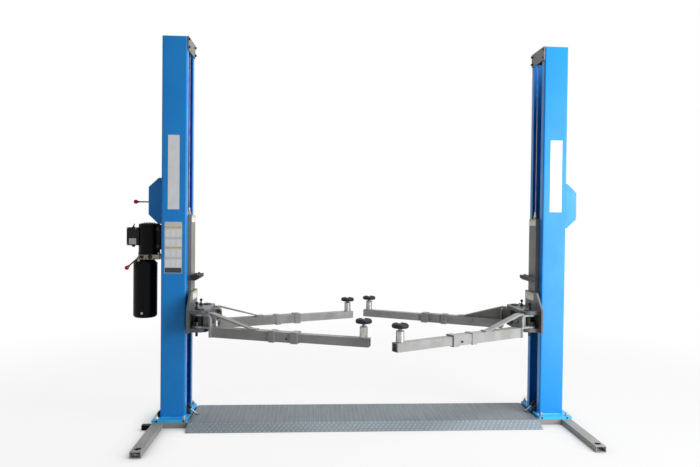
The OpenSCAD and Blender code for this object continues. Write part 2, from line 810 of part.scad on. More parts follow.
// Solid square collar on the outer tube, its bore cut with the tube's
module square_band(end_r, l) {
  side = tube + 2 * collar_t;
  translate([-end_r, -side / 2, tube_mid_z - side / 2]) cube([l, side, side]);
}

// Inner tube with the pad sleeve, its open end at the given reach
module extension(reach) {
  bottom_z = tube_mid_z - inner / 2;
  cup_z = bottom_z + inner_t;
  bevel = 4;
  color(arm_paint) difference() {
    union() {
      difference() {
        translate([-reach, -inner / 2, bottom_z]) cube([inner_l, inner, inner]);
        translate([-reach - 1, -inner / 2 + inner_t, cup_z])
          cube([inner_l + 2, inner - 2 * inner_t, inner - 2 * inner_t]);
      }
      translate([-reach + sleeve_inset, 0, cup_z]) {
        cylinder(h = sleeve_top_z - cup_z - bevel, r = sleeve_r);
        translate([0, 0, sleeve_top_z - cup_z - bevel])
          cylinder(h = bevel, r1 = sleeve_r, r2 = sleeve_r - bevel);
      }
    }
    translate([-reach + sleeve_inset, 0, cup_z])
      cylinder(h = sleeve_top_z - cup_z + 1, r = screw_r + run_fit);
  }
}

// Rubber pad on its screw, raised above the sleeve by the given gap
module pad(reach, gap) {
  edge = 9;
  recess_r = 30;
  recess_h = 4;
  color(dark_rubber) translate([-reach + sleeve_inset, 0, sleeve_top_z + gap]) {
    translate([0, 0, -screw_l]) cylinder(h = screw_l, r = screw_r);
    rotate_extrude() difference() {
      union() {
        square([pad_r - edge, pad_t]);
        translate([0, edge]) square([pad_r, pad_t - 2 * edge]);
        for (z = [edge, pad_t - edge]) translate([pad_r - edge, z]) circle(edge);
      }
      translate([0, pad_t - recess_h]) square([recess_r, recess_h + 1]);
    }
  }
}

// Places an arm piece on its pin, turned to the angle shown
module at_pin(angle) { translate([pin_x, -pin_y, 0]) rotate([0, 0, angle]) children(); }

left_side() column();  // left_column
column();  // right_column
for (side = [0, 1]) mirror([side, 0, 0]) {  // base_plates
  base_plate();
  base_sheave_mount();
}
for (side = [0, 1]) mirror([side, 0, 0]) leg();  // base_legs
for (side = [0, 1]) mirror([side, 0, 0]) edge_tubes();  // base_edge_tubes
floor_plate();
union() {  // top_brackets
  left_side() top_bracket(left_fall_y);
  top_bracket(right_fall_y);
}
union() {  // cable_sheaves
  left_side() top_sheave(left_fall_y);
  top_sheave(right_fall_y);
  for (side = [0, 1]) mirror([side, 0, 0]) base_sheaves();
}
union() {  // equalising_cables
  left_side() cable_run(left_fall_y);
  cable_run(right_fall_y);
}
for (side = [0, 1]) mirror([side, 0, 0]) lift_cylinder();  // lift_cylinders
left_side() lock_cover(true);  // left_lock_cover
lock_cover(false);  // right_lock_cover
left_side()  // lock_lever
  translate([column_out_x + lever_pivot_out, 0, lever_z]) lever(lock_lever_l, 30);
left_side() pump_bracket();
left_side() oil_tank();
left_side() pump_block();
left_side() pump_motor();
left_side() motor_switch_box();
left_side()  // lowering_lever
  translate([lowering_x, lowering_y, lowering_z]) rotate([0, lowering_angle, 0])
    lever(lowering_lever_l, lowering_boss_w);
left_side() carriage(left_fall_y);  // left_carriage
carriage(right_fall_y);  // right_carriage
left_side() slide_blocks();  // left_slide_blocks
slide_blocks();  // right_slide_blocks
left_side() arm_yoke();  // left_arm_yoke
arm_yoke();  // right_arm_yoke
left_side() arm_pins();  // left_arm_pins
arm_pins();  // right_arm_pins
left_side() door_guard();  // left_door_guard
door_guard();  // right_door_guard
left_side() lock_rod();  // front_left_lock_rod
left_side() back_end() lock_rod();  // back_left_lock_rod
lock_rod();  // front_right_lock_rod
back_end() lock_rod();  // back_right_lock_rod
left_side() at_pin(front_left_angle) arm();  // front_left_arm
left_side() back_end() at_pin(back_left_angle) arm();  // back_left_arm
at_pin(front_right_angle) arm();  // front_right_arm
back_end() at_pin(back_right_angle) {  // back_right_arm
  arm();
  brace_gusset();
}
left_side()  // front_left_extension
  at_pin(front_left_angle) extension(front_left_reach);
left_side() back_end()  // back_left_extension
  at_pin(back_left_angle) extension(back_left_reach);
at_pin(front_right_angle) extension(front_right_reach);  // front_right_extension
back_end()  // back_right_extension
  at_pin(back_right_angle) extension(back_right_reach);
left_side()  // front_left_pad
  at_pin(front_left_angle) pad(front_left_reach, front_left_gap);
left_side() back_end()  // back_left_pad
  at_pin(back_left_angle) pad(back_left_reach, back_left_gap);
at_pin(front_right_angle) pad(front_right_reach, front_right_gap);  // front_right_pad
back_end()  // back_right_pad
  at_pin(back_right_angle) pad(back_right_reach, back_right_gap);
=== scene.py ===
# %% [markdown]
# A two post car lift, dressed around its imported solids.
# The solids already have the right size and place, so this lesson adds what they lack:
# paint, rubber and zinc, and the small fittings such as bolts, welds, threads and tread bars.
# Everything is measured in the same frame: X across the bay, Y away from the front, Z up.
# The room is in metres, and pieces are drawn in millimetres.

# %% Load the frame
import bpy
import bmesh
import math
from mathutils import Matrix, Vector, noise


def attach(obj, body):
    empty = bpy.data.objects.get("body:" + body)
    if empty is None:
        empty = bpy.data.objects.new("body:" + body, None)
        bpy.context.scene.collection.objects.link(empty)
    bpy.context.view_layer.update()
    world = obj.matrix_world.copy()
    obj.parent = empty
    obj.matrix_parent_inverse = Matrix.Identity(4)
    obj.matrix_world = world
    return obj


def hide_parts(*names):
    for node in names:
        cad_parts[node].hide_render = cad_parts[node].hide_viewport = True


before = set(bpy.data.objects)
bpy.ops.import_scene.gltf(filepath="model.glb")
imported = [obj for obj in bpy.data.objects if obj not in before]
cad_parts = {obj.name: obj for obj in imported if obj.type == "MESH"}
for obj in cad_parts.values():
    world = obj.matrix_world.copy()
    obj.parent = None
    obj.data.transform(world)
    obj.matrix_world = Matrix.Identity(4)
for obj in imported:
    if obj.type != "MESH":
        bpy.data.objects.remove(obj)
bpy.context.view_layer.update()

# %% [markdown]
# The camera stands where the picture was taken from. It is turned a little, so that the columns lean
# as they do in the picture.

# %% Camera
PHOTO_W, SENSOR_MM, FOCAL_PX = 700, 36.0, 620.0
EYE = Vector((-0.4066, -4.7040, 1.5081))
YAW, PITCH, ROLL = 0.0629, 0.0169, 0.0111
SHIFT_X, SHIFT_Y = -0.002, -0.004
look = Vector((math.sin(YAW) * math.cos(PITCH), math.cos(YAW) * math.cos(PITCH), -math.sin(PITCH)))
level = Vector((math.cos(YAW), -math.sin(YAW), 0))
above = level.cross(look)
cam_right = level * math.cos(ROLL) + above * math.sin(ROLL)
cam_up = above * math.cos(ROLL) - level * math.sin(ROLL)
camera = bpy.data.objects.new("camera", bpy.data.cameras.new("camera"))
bpy.context.scene.collection.objects.link(camera)
camera.matrix_world = Matrix.Translation(EYE) @ Matrix((cam_right, cam_up, -look)).transposed().to_4x4()
camera.data.sensor_width = SENSOR_MM
camera.data.lens = FOCAL_PX * SENSOR_MM / PHOTO_W
camera.data.shift_x, camera.data.shift_y = SHIFT_X, SHIFT_Y
bpy.context.scene.camera = camera
print("lens", round(camera.data.lens, 2), "mm")

# %% [markdown]
# A finish is a small network of nodes. One helper adds a node, sets it and links it, and one helper
# turns a colour as a painter writes it into the linear numbers that light needs.

# %% Node helpers
def linear(code):
    parts = [int(code[i:i + 2], 16) / 255 for i in (1, 3, 5)]
    return tuple(c / 12.92 if c <= 0.04045 else ((c + 0.055) / 1.055) ** 2.4 for c in parts) + (1.0,)


def add(tree, kind, sockets=None, **settings):
    node = tree.nodes.new("ShaderNode" + kind)
    for name, value in settings.items():
        setattr(node, name, value)
    for name, value in (sockets or {}).items():
        if isinstance(value, bpy.types.NodeSocket):
            tree.links.new(value, node.inputs[name])
        else:
            node.inputs[name].default_value = value
    return node


# %% [markdown]
# The light in the photograph comes from the front right: the right column is pale and the left one
# deeper, and only its folded edge shines. The white room gives a weak even fill, while the eye and
# any gloss see it at full white.

# %% Room
scene = bpy.context.scene
scene.view_settings.view_transform = "Standard"
WHITE = (1.0, 1.0, 1.0, 1.0)
FILL = 0.18


def seen_by_eye(tree):
    rays = add(tree, "LightPath")
    first = add(tree, "Math", {0: rays.outputs["Is Camera Ray"], 1: rays.outputs["Is Glossy Ray"]},
                operation="MAXIMUM")
    return add(tree, "Math", {0: first.outputs[0], 1: rays.outputs["Is Transmission Ray"]}, operation="MAXIMUM")


room = bpy.data.worlds.new("white_room")
room.use_nodes = True
room.node_tree.nodes.clear()
backdrop_light = add(room.node_tree, "Background", {"Color": WHITE, "Strength": 1.0})
room_light = add(room.node_tree, "Background", {"Color": WHITE, "Strength": FILL})
chooser = add(room.node_tree, "MixShader", {0: seen_by_eye(room.node_tree).outputs[0],
                                            1: room_light.outputs[0], 2: backdrop_light.outputs[0]})
add(room.node_tree, "OutputWorld", {"Surface": chooser.outputs[0]})
scene.world = room
print("fill", FILL)

# %% [markdown]
# Three soft boxes do the rest: a tall one near the right column, one overhead for the floor plate, and
# one behind for the back. The last would glare on the floor plate, so it isn't mirrored in gloss.

# %% Lamps
def lamp(name, place, target, wide, high, watts, mirrored=True):
    data = bpy.data.lights.new(name, "AREA")
    data.shape, data.size, data.size_y, data.energy = "RECTANGLE", wide, high, watts
    made = bpy.data.objects.new(name, data)
    scene.collection.objects.link(made)
    made.location = place
    made.rotation_euler = (Vector(target) - Vector(place)).to_track_quat("-Z", "Y").to_euler()
    made.visible_glossy = mirrored
    print(name, watts, "W")


lamp("key_lamp", (3.1, -2.5, 1.45), (0.9, 0, 1.3), 1.3, 2.8, 118)
lamp("top_lamp", (2.9, -1.7, 5.4), (0.2, 0, 0.4), 1.8, 1.8, 150)
lamp("back_lamp", (0, 5.6, 3.4), (0, 0, 1.2), 3.0, 2.4, 130, mirrored=False)

# %% [markdown]
# The floor is pale and nearly white to the eye, so that it joins the backdrop. A share of it is
# plain matt paint, which keeps the soft shadow. That share grows near the lift, and most where
# something stands on the floor, so the open leg tubes look deep.

# %% Floor
FLOOR_HALF, FLOOR_DROP = 60.0, 0.001
CLEAR_NEAR, CLEAR_FAR, NEAR_SHARE = 2.4, 5.5, 0.88
CONTACT_M, CONTACT_POWER = 0.2, 2.0
floor_shape = bmesh.new()
bmesh.ops.create_grid(floor_shape, x_segments=2, y_segments=2, size=FLOOR_HALF)
floor_mesh = bpy.data.meshes.new("floor")
floor_shape.to_mesh(floor_mesh)
floor_shape.free()
floor = bpy.data.objects.new("floor", floor_mesh)
scene.collection.objects.link(floor)
floor.location.z = -FLOOR_DROP
pale_floor = bpy.data.materials.new("pale_floor")
pale_floor.use_nodes = True
tree = pale_floor.node_tree
tree.nodes.clear()
away = add(tree, "VectorMath", {0: add(tree, "TexCoord").outputs["Object"]}, operation="LENGTH")
fade = add(tree, "MapRange", {"Value": away.outputs["Value"], "From Min": CLEAR_NEAR, "From Max": CLEAR_FAR,
                              "To Min": NEAR_SHARE, "To Max": 1.0}, interpolation_type="SMOOTHSTEP")
under = add(tree, "AmbientOcclusion", {"Distance": CONTACT_M})
deep = add(tree, "Math", {0: under.outputs["AO"], 1: CONTACT_POWER}, operation="POWER")
open_share = add(tree, "Math", {0: fade.outputs[0], 1: deep.outputs[0]}, operation="MULTIPLY")
share = add(tree, "Math", {0: open_share.outputs[0], 1: seen_by_eye(tree).outputs[0]}, operation="MULTIPLY")
matt = add(tree, "BsdfDiffuse", {"Color": linear("#d2d2d2")})
glow = add(tree, "Emission", {"Color": WHITE, "Strength": 1.0})
mixed = add(tree, "MixShader", {0: share.outputs[0], 1: matt.outputs[0], 2: glow.outputs[0]})
add(tree, "OutputMaterial", {"Surface": mixed.outputs[0]})
floor.data.materials.append(pale_floor)
print("floor half width", FLOOR_HALF, "m")

# %% [markdown]
# Most finishes here are paint on steel, so one recipe serves them: a main tone, a second tone that
# drifts over it in large soft clouds, a fine texture that the spray gun leaves, and an even gloss
# that the clouds disturb a little. Metals, plastics and rubber use it with other numbers.
# The real grain of enamel is about 2 mm wide, too fine to show, so grain_mm draws it coarser.

# %% Recipe for a coated surface
SPRAY_MM, CLOUD_MM, GLOSS_SWING, EVEN_MIX = 9.0, 260.0, 0.08, (0.35, 0.65)


def coated(name, tone, second, rough, grain_mm=SPRAY_MM, bump_mm=0.12, cloud_mm=CLOUD_MM,
           stretch=(1, 1, 1), metal=0.0, ior=1.5, cloud_mix=EVEN_MIX):
    made = bpy.data.materials.new(name)
    made.use_nodes = True
    t = made.node_tree
    t.nodes.clear()
    place = add(t, "TexCoord").outputs["Object"]
    drawn = add(t, "Mapping", {"Vector": place, "Scale": stretch})
    clouds = add(t, "TexNoise", {"Vector": drawn.outputs[0], "Scale": 1000 / cloud_mm,
                                 "Detail": 6.0, "Roughness": 0.62})
    grain = add(t, "TexNoise", {"Vector": drawn.outputs[0], "Scale": 1000 / grain_mm,
                                "Detail": 3.0, "Roughness": 0.55})
    tones = add(t, "ValToRGB", {"Fac": clouds.outputs["Fac"]})
    first_stop, last_stop = tones.color_ramp.elements
    first_stop.position, last_stop.position = cloud_mix
    first_stop.color, last_stop.color = linear(tone), linear(second)
    gloss = add(t, "MapRange", {"Value": clouds.outputs["Fac"], "From Min": 0.3, "From Max": 0.7,
                                "To Min": rough - GLOSS_SWING, "To Max": rough + GLOSS_SWING})
    relief = add(t, "Bump", {"Height": grain.outputs["Fac"], "Strength": 0.35, "Distance": bump_mm / 1000})
    surface = add(t, "BsdfPrincipled", {"Base Color": tones.outputs[0], "Roughness": gloss.outputs[0],
                                        "Metallic": metal, "IOR": ior, "Normal": relief.outputs[0]})
    add(t, "OutputMaterial", {"Surface": surface.outputs[0]})
    print(name, "rough", rough)
    return made


def part_of(material, kind):
    return next(n for n in material.node_tree.nodes if n.bl_idname == "ShaderNode" + kind)


print("clouds", CLOUD_MM, "mm, grain", SPRAY_MM, "mm")

# %% [markdown]
# The lift is painted in three colours: blue columns, grey moving parts and a black power unit.
# The legs and front arms keep their own greys, while the carriages, yokes and back arms are made darker as
# painted shade.

# %% Paints
# Blue gloss enamel on folded sheet: even and new, with a bright line at each fold.
coated("blue_gloss_enamel", "#1b93e8", "#188de2", 0.36, ior=1.4)
# The same enamel on the flat base plates, made paler all over as painted light for the overhead light that
# falls on them.
coated("blue_base_enamel", "#44c4ff", "#39bcff", 0.32, ior=1.45)
# Grey enamel on the leg tubes: satin, over the faint waves of hot rolled tube.
coated("grey_leg_enamel", "#a0a09d", "#93938d", 0.4, grain_mm=5.0, bump_mm=0.2, ior=1.4)
# Grey enamel on the arms: silvery, with hand sized clouds where they are gripped.
coated("grey_arm_enamel", "#a2a4a4", "#908f8b", 0.38, grain_mm=6.0, bump_mm=0.18, cloud_mm=180.0, ior=1.4)
# Grey enamel on carriages and top brackets: made darker as painted shade for the shade they stand in, and less
# glossy.
coated("grey_carriage_enamel", "#888783", "#7b7975", 0.42, grain_mm=6.0, bump_mm=0.18, ior=1.3)
# Grey enamel on the yokes: made the darkest grey as painted shade, which makes the arm roots look deep.
coated("grey_yoke_enamel", "#626568", "#56595c", 0.38, grain_mm=6.0, bump_mm=0.18, ior=1.4)
# Baked black enamel on the tank, motor and cylinders: near black, with only a weak sheen.
coated("black_stove_enamel", "#08090b", "#0c0d0f", 0.38, grain_mm=7.0, bump_mm=0.15, cloud_mm=120.0, ior=1.18)

# %% [markdown]
# The back arms are scraped. In patches as wide as a thumb is long, a warm brown primer shows faintly
# through the grey. A second noise picks the patches, and a mix node lays the primer.

# %% Scraped paint of the back arms
SCRAPE_MM, SCRAPE_START, SCRAPE_FULL = 55, 0.63, 0.7
# Painted shade: the base grey is darker than the front arms' grey. The brown primer patches are wear.
scraped_arm_enamel = coated("scraped_arm_enamel", "#959593", "#7c7a76", 0.4, grain_mm=6.0, bump_mm=0.18,
    cloud_mm=180.0, ior=1.4)
t = scraped_arm_enamel.node_tree
blotch = add(t, "TexNoise", {"Vector": add(t, "TexCoord").outputs["Object"], "Scale": 1000 / SCRAPE_MM,
                             "Detail": 4.0, "Roughness": 0.6})
bare = add(t, "MapRange", {"Value": blotch.outputs["Fac"], "From Min": SCRAPE_START, "From Max": SCRAPE_FULL})
primer = add(t, "MixRGB", {0: bare.outputs[0], 1: part_of(scraped_arm_enamel, "ValToRGB").outputs[0],
                           2: linear("#6f5950")})
t.links.new(primer.outputs[0], part_of(scraped_arm_enamel, "BsdfPrincipled").inputs["Base Color"])

# %% [markdown]
# Cast, moulded and plated surfaces. Cast iron and moulded ABS have a coarser skin than paint.
# Zinc plate and cast aluminium are metals, so they show the room more than their own colour.

# %% Metals, plastics and rubber
# Black cast iron of the sheaves: matt and grainy from the sand.
coated("black_cast_iron", "#131416", "#1b1c1e", 0.55, grain_mm=4.0, bump_mm=0.3, cloud_mm=60.0)
# Bolt steel blackened in hot oil: almost black, with a dull glint of metal on the edges.
coated("blackened_bolt_steel", "#0f1012", "#1a1b1d", 0.42, grain_mm=3.0, bump_mm=0.1, cloud_mm=40.0, metal=0.3)
# Black ABS, moulded with a fine texture: an even satin black.
coated("moulded_black_abs", "#0e0f10", "#141518", 0.46, grain_mm=3.5, bump_mm=0.25, cloud_mm=70.0, ior=1.3)
# Zinc plated steel: bright and a little warm, with cloudy patches.
coated("zinc_plated_steel", "#bdbeb9", "#a09f98", 0.36, grain_mm=4.0, bump_mm=0.08, cloud_mm=45.0, metal=0.85)
# Sand cast aluminium: pale, and dull from its oxide skin.
coated("sand_cast_aluminium", "#aaa596", "#958f80", 0.48, grain_mm=3.5, bump_mm=0.3, cloud_mm=60.0, metal=0.55)
# Cast nylon of the slide blocks: waxy cream.
coated("cast_nylon", "#d9d4c4", "#cdc7b5", 0.5, grain_mm=5.0, bump_mm=0.1, cloud_mm=80.0)
# Moulded rubber: a dull blue black, with a broad soft highlight on round edges.
coated("moulded_black_rubber", "#191c21", "#22262c", 0.52, grain_mm=3.0, bump_mm=0.3, cloud_mm=50.0, ior=1.35)
# Phenolic resin, tumbled smooth: a strong red with one small clear highlight.
coated("red_phenolic_ball", "#dd0008", "#c80006", 0.3, grain_mm=20.0, bump_mm=0.02, cloud_mm=30.0, ior=1.3)
# Weld beads under the grey coat: rough ripples.
coated("painted_weld", "#8f8f8c", "#7d7c79", 0.4, grain_mm=3.0, bump_mm=0.3, cloud_mm=25.0)

# %% [markdown]
# The floor plate is rolled steel in grey blue paint. Wheels draw streaks across it, so the clouds are
# stretched along Y. The ramp is made paler than the flat as painted light for its slope, which faces the light
# more, and the normal tells which is which.

# %% Tread plate paint
STREAK, STREAK_MM, STREAK_MIX = (1, 0.045, 1), 14.0, (0.25, 0.75)
RAMP_NORMAL, FLAT_NORMAL, RAMP_LIGHT_GAIN, FLAT_LIGHT_GAIN = 0.93, 0.98, 1.5, 0.95
painted_tread_plate = coated("painted_tread_plate", "#7f898f", "#737d83", 0.46, grain_mm=5.0, bump_mm=0.25,
    cloud_mm=STREAK_MM, stretch=STREAK, cloud_mix=STREAK_MIX)
t = painted_tread_plate.node_tree
# Painted light: faces tilted like the ramp are made paler than the flat.
facing = add(t, "SeparateXYZ", {"Vector": add(t, "NewGeometry").outputs["Normal"]})
ramp_light = add(t, "MapRange", {"Value": facing.outputs["Z"], "From Min": RAMP_NORMAL, "From Max": FLAT_NORMAL,
                            "To Min": RAMP_LIGHT_GAIN, "To Max": FLAT_LIGHT_GAIN})
ramp_lit = add(t, "VectorMath", {0: part_of(painted_tread_plate, "ValToRGB").outputs[0],
                                "Scale": ramp_light.outputs[0]}, operation="SCALE")
t.links.new(ramp_lit.outputs[0], part_of(painted_tread_plate, "BsdfPrincipled").inputs["Base Color"])
# Bars of the flat: the same paint, a little paler where feet polish it.
coated("painted_tread_bar", "#98a2a8", "#879197", 0.42, grain_mm=5.0, bump_mm=0.2, cloud_mm=35.0)
# Bars of the ramp: rubbed almost to bare steel, and made paler still as a painted highlight, so they glitter in
# rows.
coated("worn_and_lit_tread_bar", "#ccd4da", "#b0b8be", 0.4, grain_mm=4.0, bump_mm=0.15, cloud_mm=35.0)

# %% [markdown]
# Films and inks are smooth and almost without texture, so one short loop mixes them all. The
# rating plate is brushed aluminium, and a stretched pattern gives it its fine lines.

# %% Films, inks and rating plate
for name, tone, second, rough in (
        ("blank_label_film", "#dfe1e2", "#d5d7d9", 0.4),  # vinyl film, matt and pale grey
        ("white_label_film", "#f6f8fa", "#eef1f4", 0.35),  # vinyl film, white and smoother
        ("yellow_label_ink", "#e6cb22", "#dcc01c", 0.4),  # screen ink, flat yellow
        ("dark_label_ink", "#3b3d40", "#2f3134", 0.4)):  # screen ink, flat charcoal
    coated(name, tone, second, rough, grain_mm=30.0, bump_mm=0.02, cloud_mm=90.0)
BRUSHED = (0.2, 1, 3)
coated("brushed_rating_plate", "#a9a9a6", "#9b9b98", 0.4, grain_mm=2.0, bump_mm=0.04, cloud_mm=30.0,
    stretch=BRUSHED, metal=0.4)

# %% [markdown]
# On wire rope each strand is a slanted band, so one wave that climbs with the height gives the relief.
# Real strands lie about 14 mm apart, too fine to show, so the bands are drawn about 88 mm apart.

# %% Wire rope
BAND_SCALE, STRAND_DEEP_M = 1000 / 7.0 / 20, 0.0012
galvanised_wire_rope = coated("galvanised_wire_rope", "#a8a59c", "#85827a", 0.42, grain_mm=2.0, bump_mm=0.05,
    cloud_mm=60.0, metal=0.7)
t = galvanised_wire_rope.node_tree
strands = add(t, "TexWave", {"Vector": add(t, "TexCoord").outputs["Object"], "Scale": BAND_SCALE,
                             "Distortion": 0.0}, wave_type="BANDS", bands_direction="DIAGONAL")
strand_relief = add(t, "Bump", {"Height": strands.outputs["Fac"], "Strength": 0.8, "Distance": STRAND_DEEP_M,
                                "Normal": part_of(galvanised_wire_rope, "Bump").outputs[0]})
t.links.new(strand_relief.outputs[0], part_of(galvanised_wire_rope, "BsdfPrincipled").inputs["Normal"])

# %% [markdown]
# Each solid of the frame now gets its finish. The object keeps its mesh and place, and only
# its material changes.

# %% Finish the solids
# Each finish with the endings of the names of its solids. The first finish that fits is taken.
FINISHED_SOLIDS = {
    "blue_gloss_enamel": "_column _lock_cover", "blue_base_enamel": "base_plates",
    "grey_leg_enamel": "base_legs _edge_tubes", "scraped_arm_enamel": "back_left_arm back_right_arm",
    "grey_arm_enamel": "_arm _extension", "grey_yoke_enamel": "_arm_yoke",
    "grey_carriage_enamel": "_carriage _brackets", "cast_nylon": "_slide_blocks",
    "blackened_bolt_steel": "_arm_pins _lock_rod _lever", "moulded_black_rubber": "_door_guard _pad",
    "painted_tread_plate": "floor_plate", "black_cast_iron": "_sheaves", "galvanised_wire_rope": "_cables",
    "black_stove_enamel": "_cylinders pump_bracket _tank _motor", "sand_cast_aluminium": "pump_block",
    "moulded_black_abs": "_switch_box",
}
for node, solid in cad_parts.items():
    finish = next(name for name, ends in FINISHED_SOLIDS.items() if node.endswith(tuple(ends.split())))
    solid.data.materials.clear()
    solid.data.materials.append(bpy.data.materials[finish])
print("finished", len(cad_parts), "solids")

# %% [markdown]
# Most fittings are turned parts: a profile of radii and heights, spun round an axis. The helpers
# join rings of points into a skin and close its ends, and a nut is the same form with six sides.

# %% Turned forms
def turn_to(axis):
    return Vector((0, 0, 1)).rotation_difference(Vector(axis).normalized()).to_matrix().to_4x4()


def add_rings(shape, rings, finish=0, closed=(True, True)):
    loops = [[shape.verts.new(p) for p in ring] for ring in rings]
    n = len(loops[0])
    for low, high in zip(loops, loops[1:]):
        for i in range(n):
            shape.faces.new((low[i], low[(i + 1) % n], high[(i + 1) % n], high[i])).material_index = finish
    if closed[0]:
        shape.faces.new(loops[0][::-1]).material_index = finish
    if closed[1]:
        shape.faces.new(loops[-1]).material_index = finish


def add_turned(shape, profile, place, axis=(0, 0, 1), steps=32, finish=0, start=0.0, closed=(True, True)):
    place_to = Matrix.Translation(Vector(place)) @ turn_to(axis)
    rings = [[place_to @ Vector((r * math.cos(a), r * math.sin(a), h)) for a in
              (start + 2 * math.pi * i / steps for i in range(steps))] for r, h in profile]
    add_rings(shape, rings, finish, closed)


def add_hex(shape, across, height, place, axis=(0, 0, 1), finish=0, start=0.3):
    r = across / 3 ** 0.5
    chamfered = [(r * 0.92, 0), (r, height * 0.12), (r, height * 0.8), (r * 0.88, height)]
    add_turned(shape, chamfered, place, axis, 6, finish, start)


ORIGIN, FRONT, OPEN = (0, 0, 0), (0, -1, 0), (False, False)
print("a nut of 13 mm is", round(13 / 3 ** 0.5 * 2, 1), "mm over its corners")

# %% [markdown]
# A drawn form becomes a piece here. Its faces are turned outwards, millimetres become metres, round
# faces are smoothed while sharp edges stay, and it gets its materials and the body it rides on.

# %% Finish a piece
def finish_piece(name, shape, body, materials, slot, smooth_deg=38):
    bmesh.ops.recalc_face_normals(shape, faces=shape.faces)
    bmesh.ops.scale(shape, vec=(0.001,) * 3, verts=shape.verts)
    mesh = bpy.data.meshes.new(name)
    shape.to_mesh(mesh)
    shape.free()
    for p in mesh.polygons:
        p.use_smooth = True
    mesh.set_sharp_from_angle(angle=math.radians(smooth_deg))
    for m in materials:
        mesh.materials.append(bpy.data.materials[m])
    piece = bpy.data.objects.new(name, mesh)
    scene.collection.objects.link(piece)
    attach(piece, body)
    print(name, "faces", len(mesh.polygons))
    return piece


def place_in(matrix, shape):
    bmesh.ops.transform(shape, matrix=matrix, verts=shape.verts)

# %% [markdown]
# Sizes of the solids that the fittings sit on. An arm is drawn along X from its pin, and arm_frame
# carries it to its corner. Its pose is its swing in degrees, its reach, and the gap below its pad.

# %% Shared sizes
ARM_KEYS = ("front_left", "back_left", "front_right", "back_right")
SIDES = (("left", -1), ("right", 1))
LIP_X, COLUMN_OUT_X, COLUMN_HALF_D, BASE_TOP = 1320.0, 1500.0, 140.0, 58.0
PIN_X, PIN_Y, TUBE_Z, TUBE = 1215.0, 150.0, 657.0, 70.0
SLEEVE_TOP_Z, SLEEVE_R, SLEEVE_INSET = 798.6, 27.0, 42.0
ARM_POSE = {"front_left": (20, 1275, 20), "back_left": (24, 1266, 10),
            "front_right": (29, 1240, 16), "back_right": (28, 1305, 12)}


def arm_frame(key):
    mirror_x = -1 if "left" in key else 1
    mirror_y = -1 if "back" in key else 1
    flip = Matrix.Diagonal((mirror_x, mirror_y, 1, 1))
    swing = Matrix.Rotation(math.radians(ARM_POSE[key][0]), 4, "Z")
    return flip @ Matrix.Translation((PIN_X, -PIN_Y, 0)) @ swing


print("between the lips of the columns", 2 * LIP_X, "mm")

# %% [markdown]
# A screw thread is a groove that climbs as it turns. The radius swings in and out round each ring,
# and the swing shifts from ring to ring.

# %% Screw threads
THREAD_MM, THREAD_DEEP, RINGS_A_TURN = 5.0, 1.4, 4


def add_thread(shape, radius, z0, z1, pitch, deep, finish, sides=20):
    steps = int((z1 - z0) / (pitch / RINGS_A_TURN))
    rings = []
    for k in range(steps + 1):
        z = z0 + (z1 - z0) * k / steps
        ring = []
        for i in range(sides):
            a = 2 * math.pi * i / sides
            r = radius - deep * abs(2 * ((z / pitch - i / sides) % 1.0) - 1)
            ring.append(Vector((r * math.cos(a), r * math.sin(a), z)))
        rings.append(ring)
    add_rings(shape, rings, finish)


print("pad thread pitch", THREAD_MM, "mm")

# %% [markdown]
# A lifting pad is a moulded rubber disc on a threaded spindle. A crossed slot parts its top into four
# lobes, which take the pinch weld of a car body. Each lobe is built up in rings.

# %% Lobes of a pad
PAD_R, PAD_T, PAD_EDGE, SCREW_R, SCREW_L = 56.0, 30.0, 11.0, 13.0, 112.0
SADDLE_Z, SLOT_HALF, LOBE_IN, LOBE_OUT, LOBE_STEPS = 24.0, 5.5, 22.0, 54.5, 8
# The side of a lobe, from foot to top: the height, and how far it has drawn in.
LOBE_SIDE = ((SADDLE_Z - 2, 0.6), (SADDLE_Z + 1, 2.4), (PAD_T - 2.5, 5.6), (PAD_T - 0.7, 9.0), (PAD_T, 12.0))


def add_lobe(shape, turn):
    rings = []
    for z, inset in LOBE_SIDE:
        ring = []
        for radius, steps in ((LOBE_OUT - inset, range(LOBE_STEPS + 1)),
                              (LOBE_IN + inset, range(LOBE_STEPS, -1, -1))):
            first = math.asin((SLOT_HALF + inset) / radius)
            for k in steps:
                a = turn + first + (math.pi / 2 - 2 * first) * k / LOBE_STEPS
                ring.append(Vector((radius * math.cos(a), radius * math.sin(a), z)))
        rings.append(ring)
    add_rings(shape, rings)


print("lobes stand", PAD_T - SADDLE_Z, "mm proud")

# %% [markdown]
# The pad is a disc, four lobes, a hub with its screw head, a steel flange below and the spindle.
# The lobes are turned back by the arm's swing, so the slots stand square to the lift.

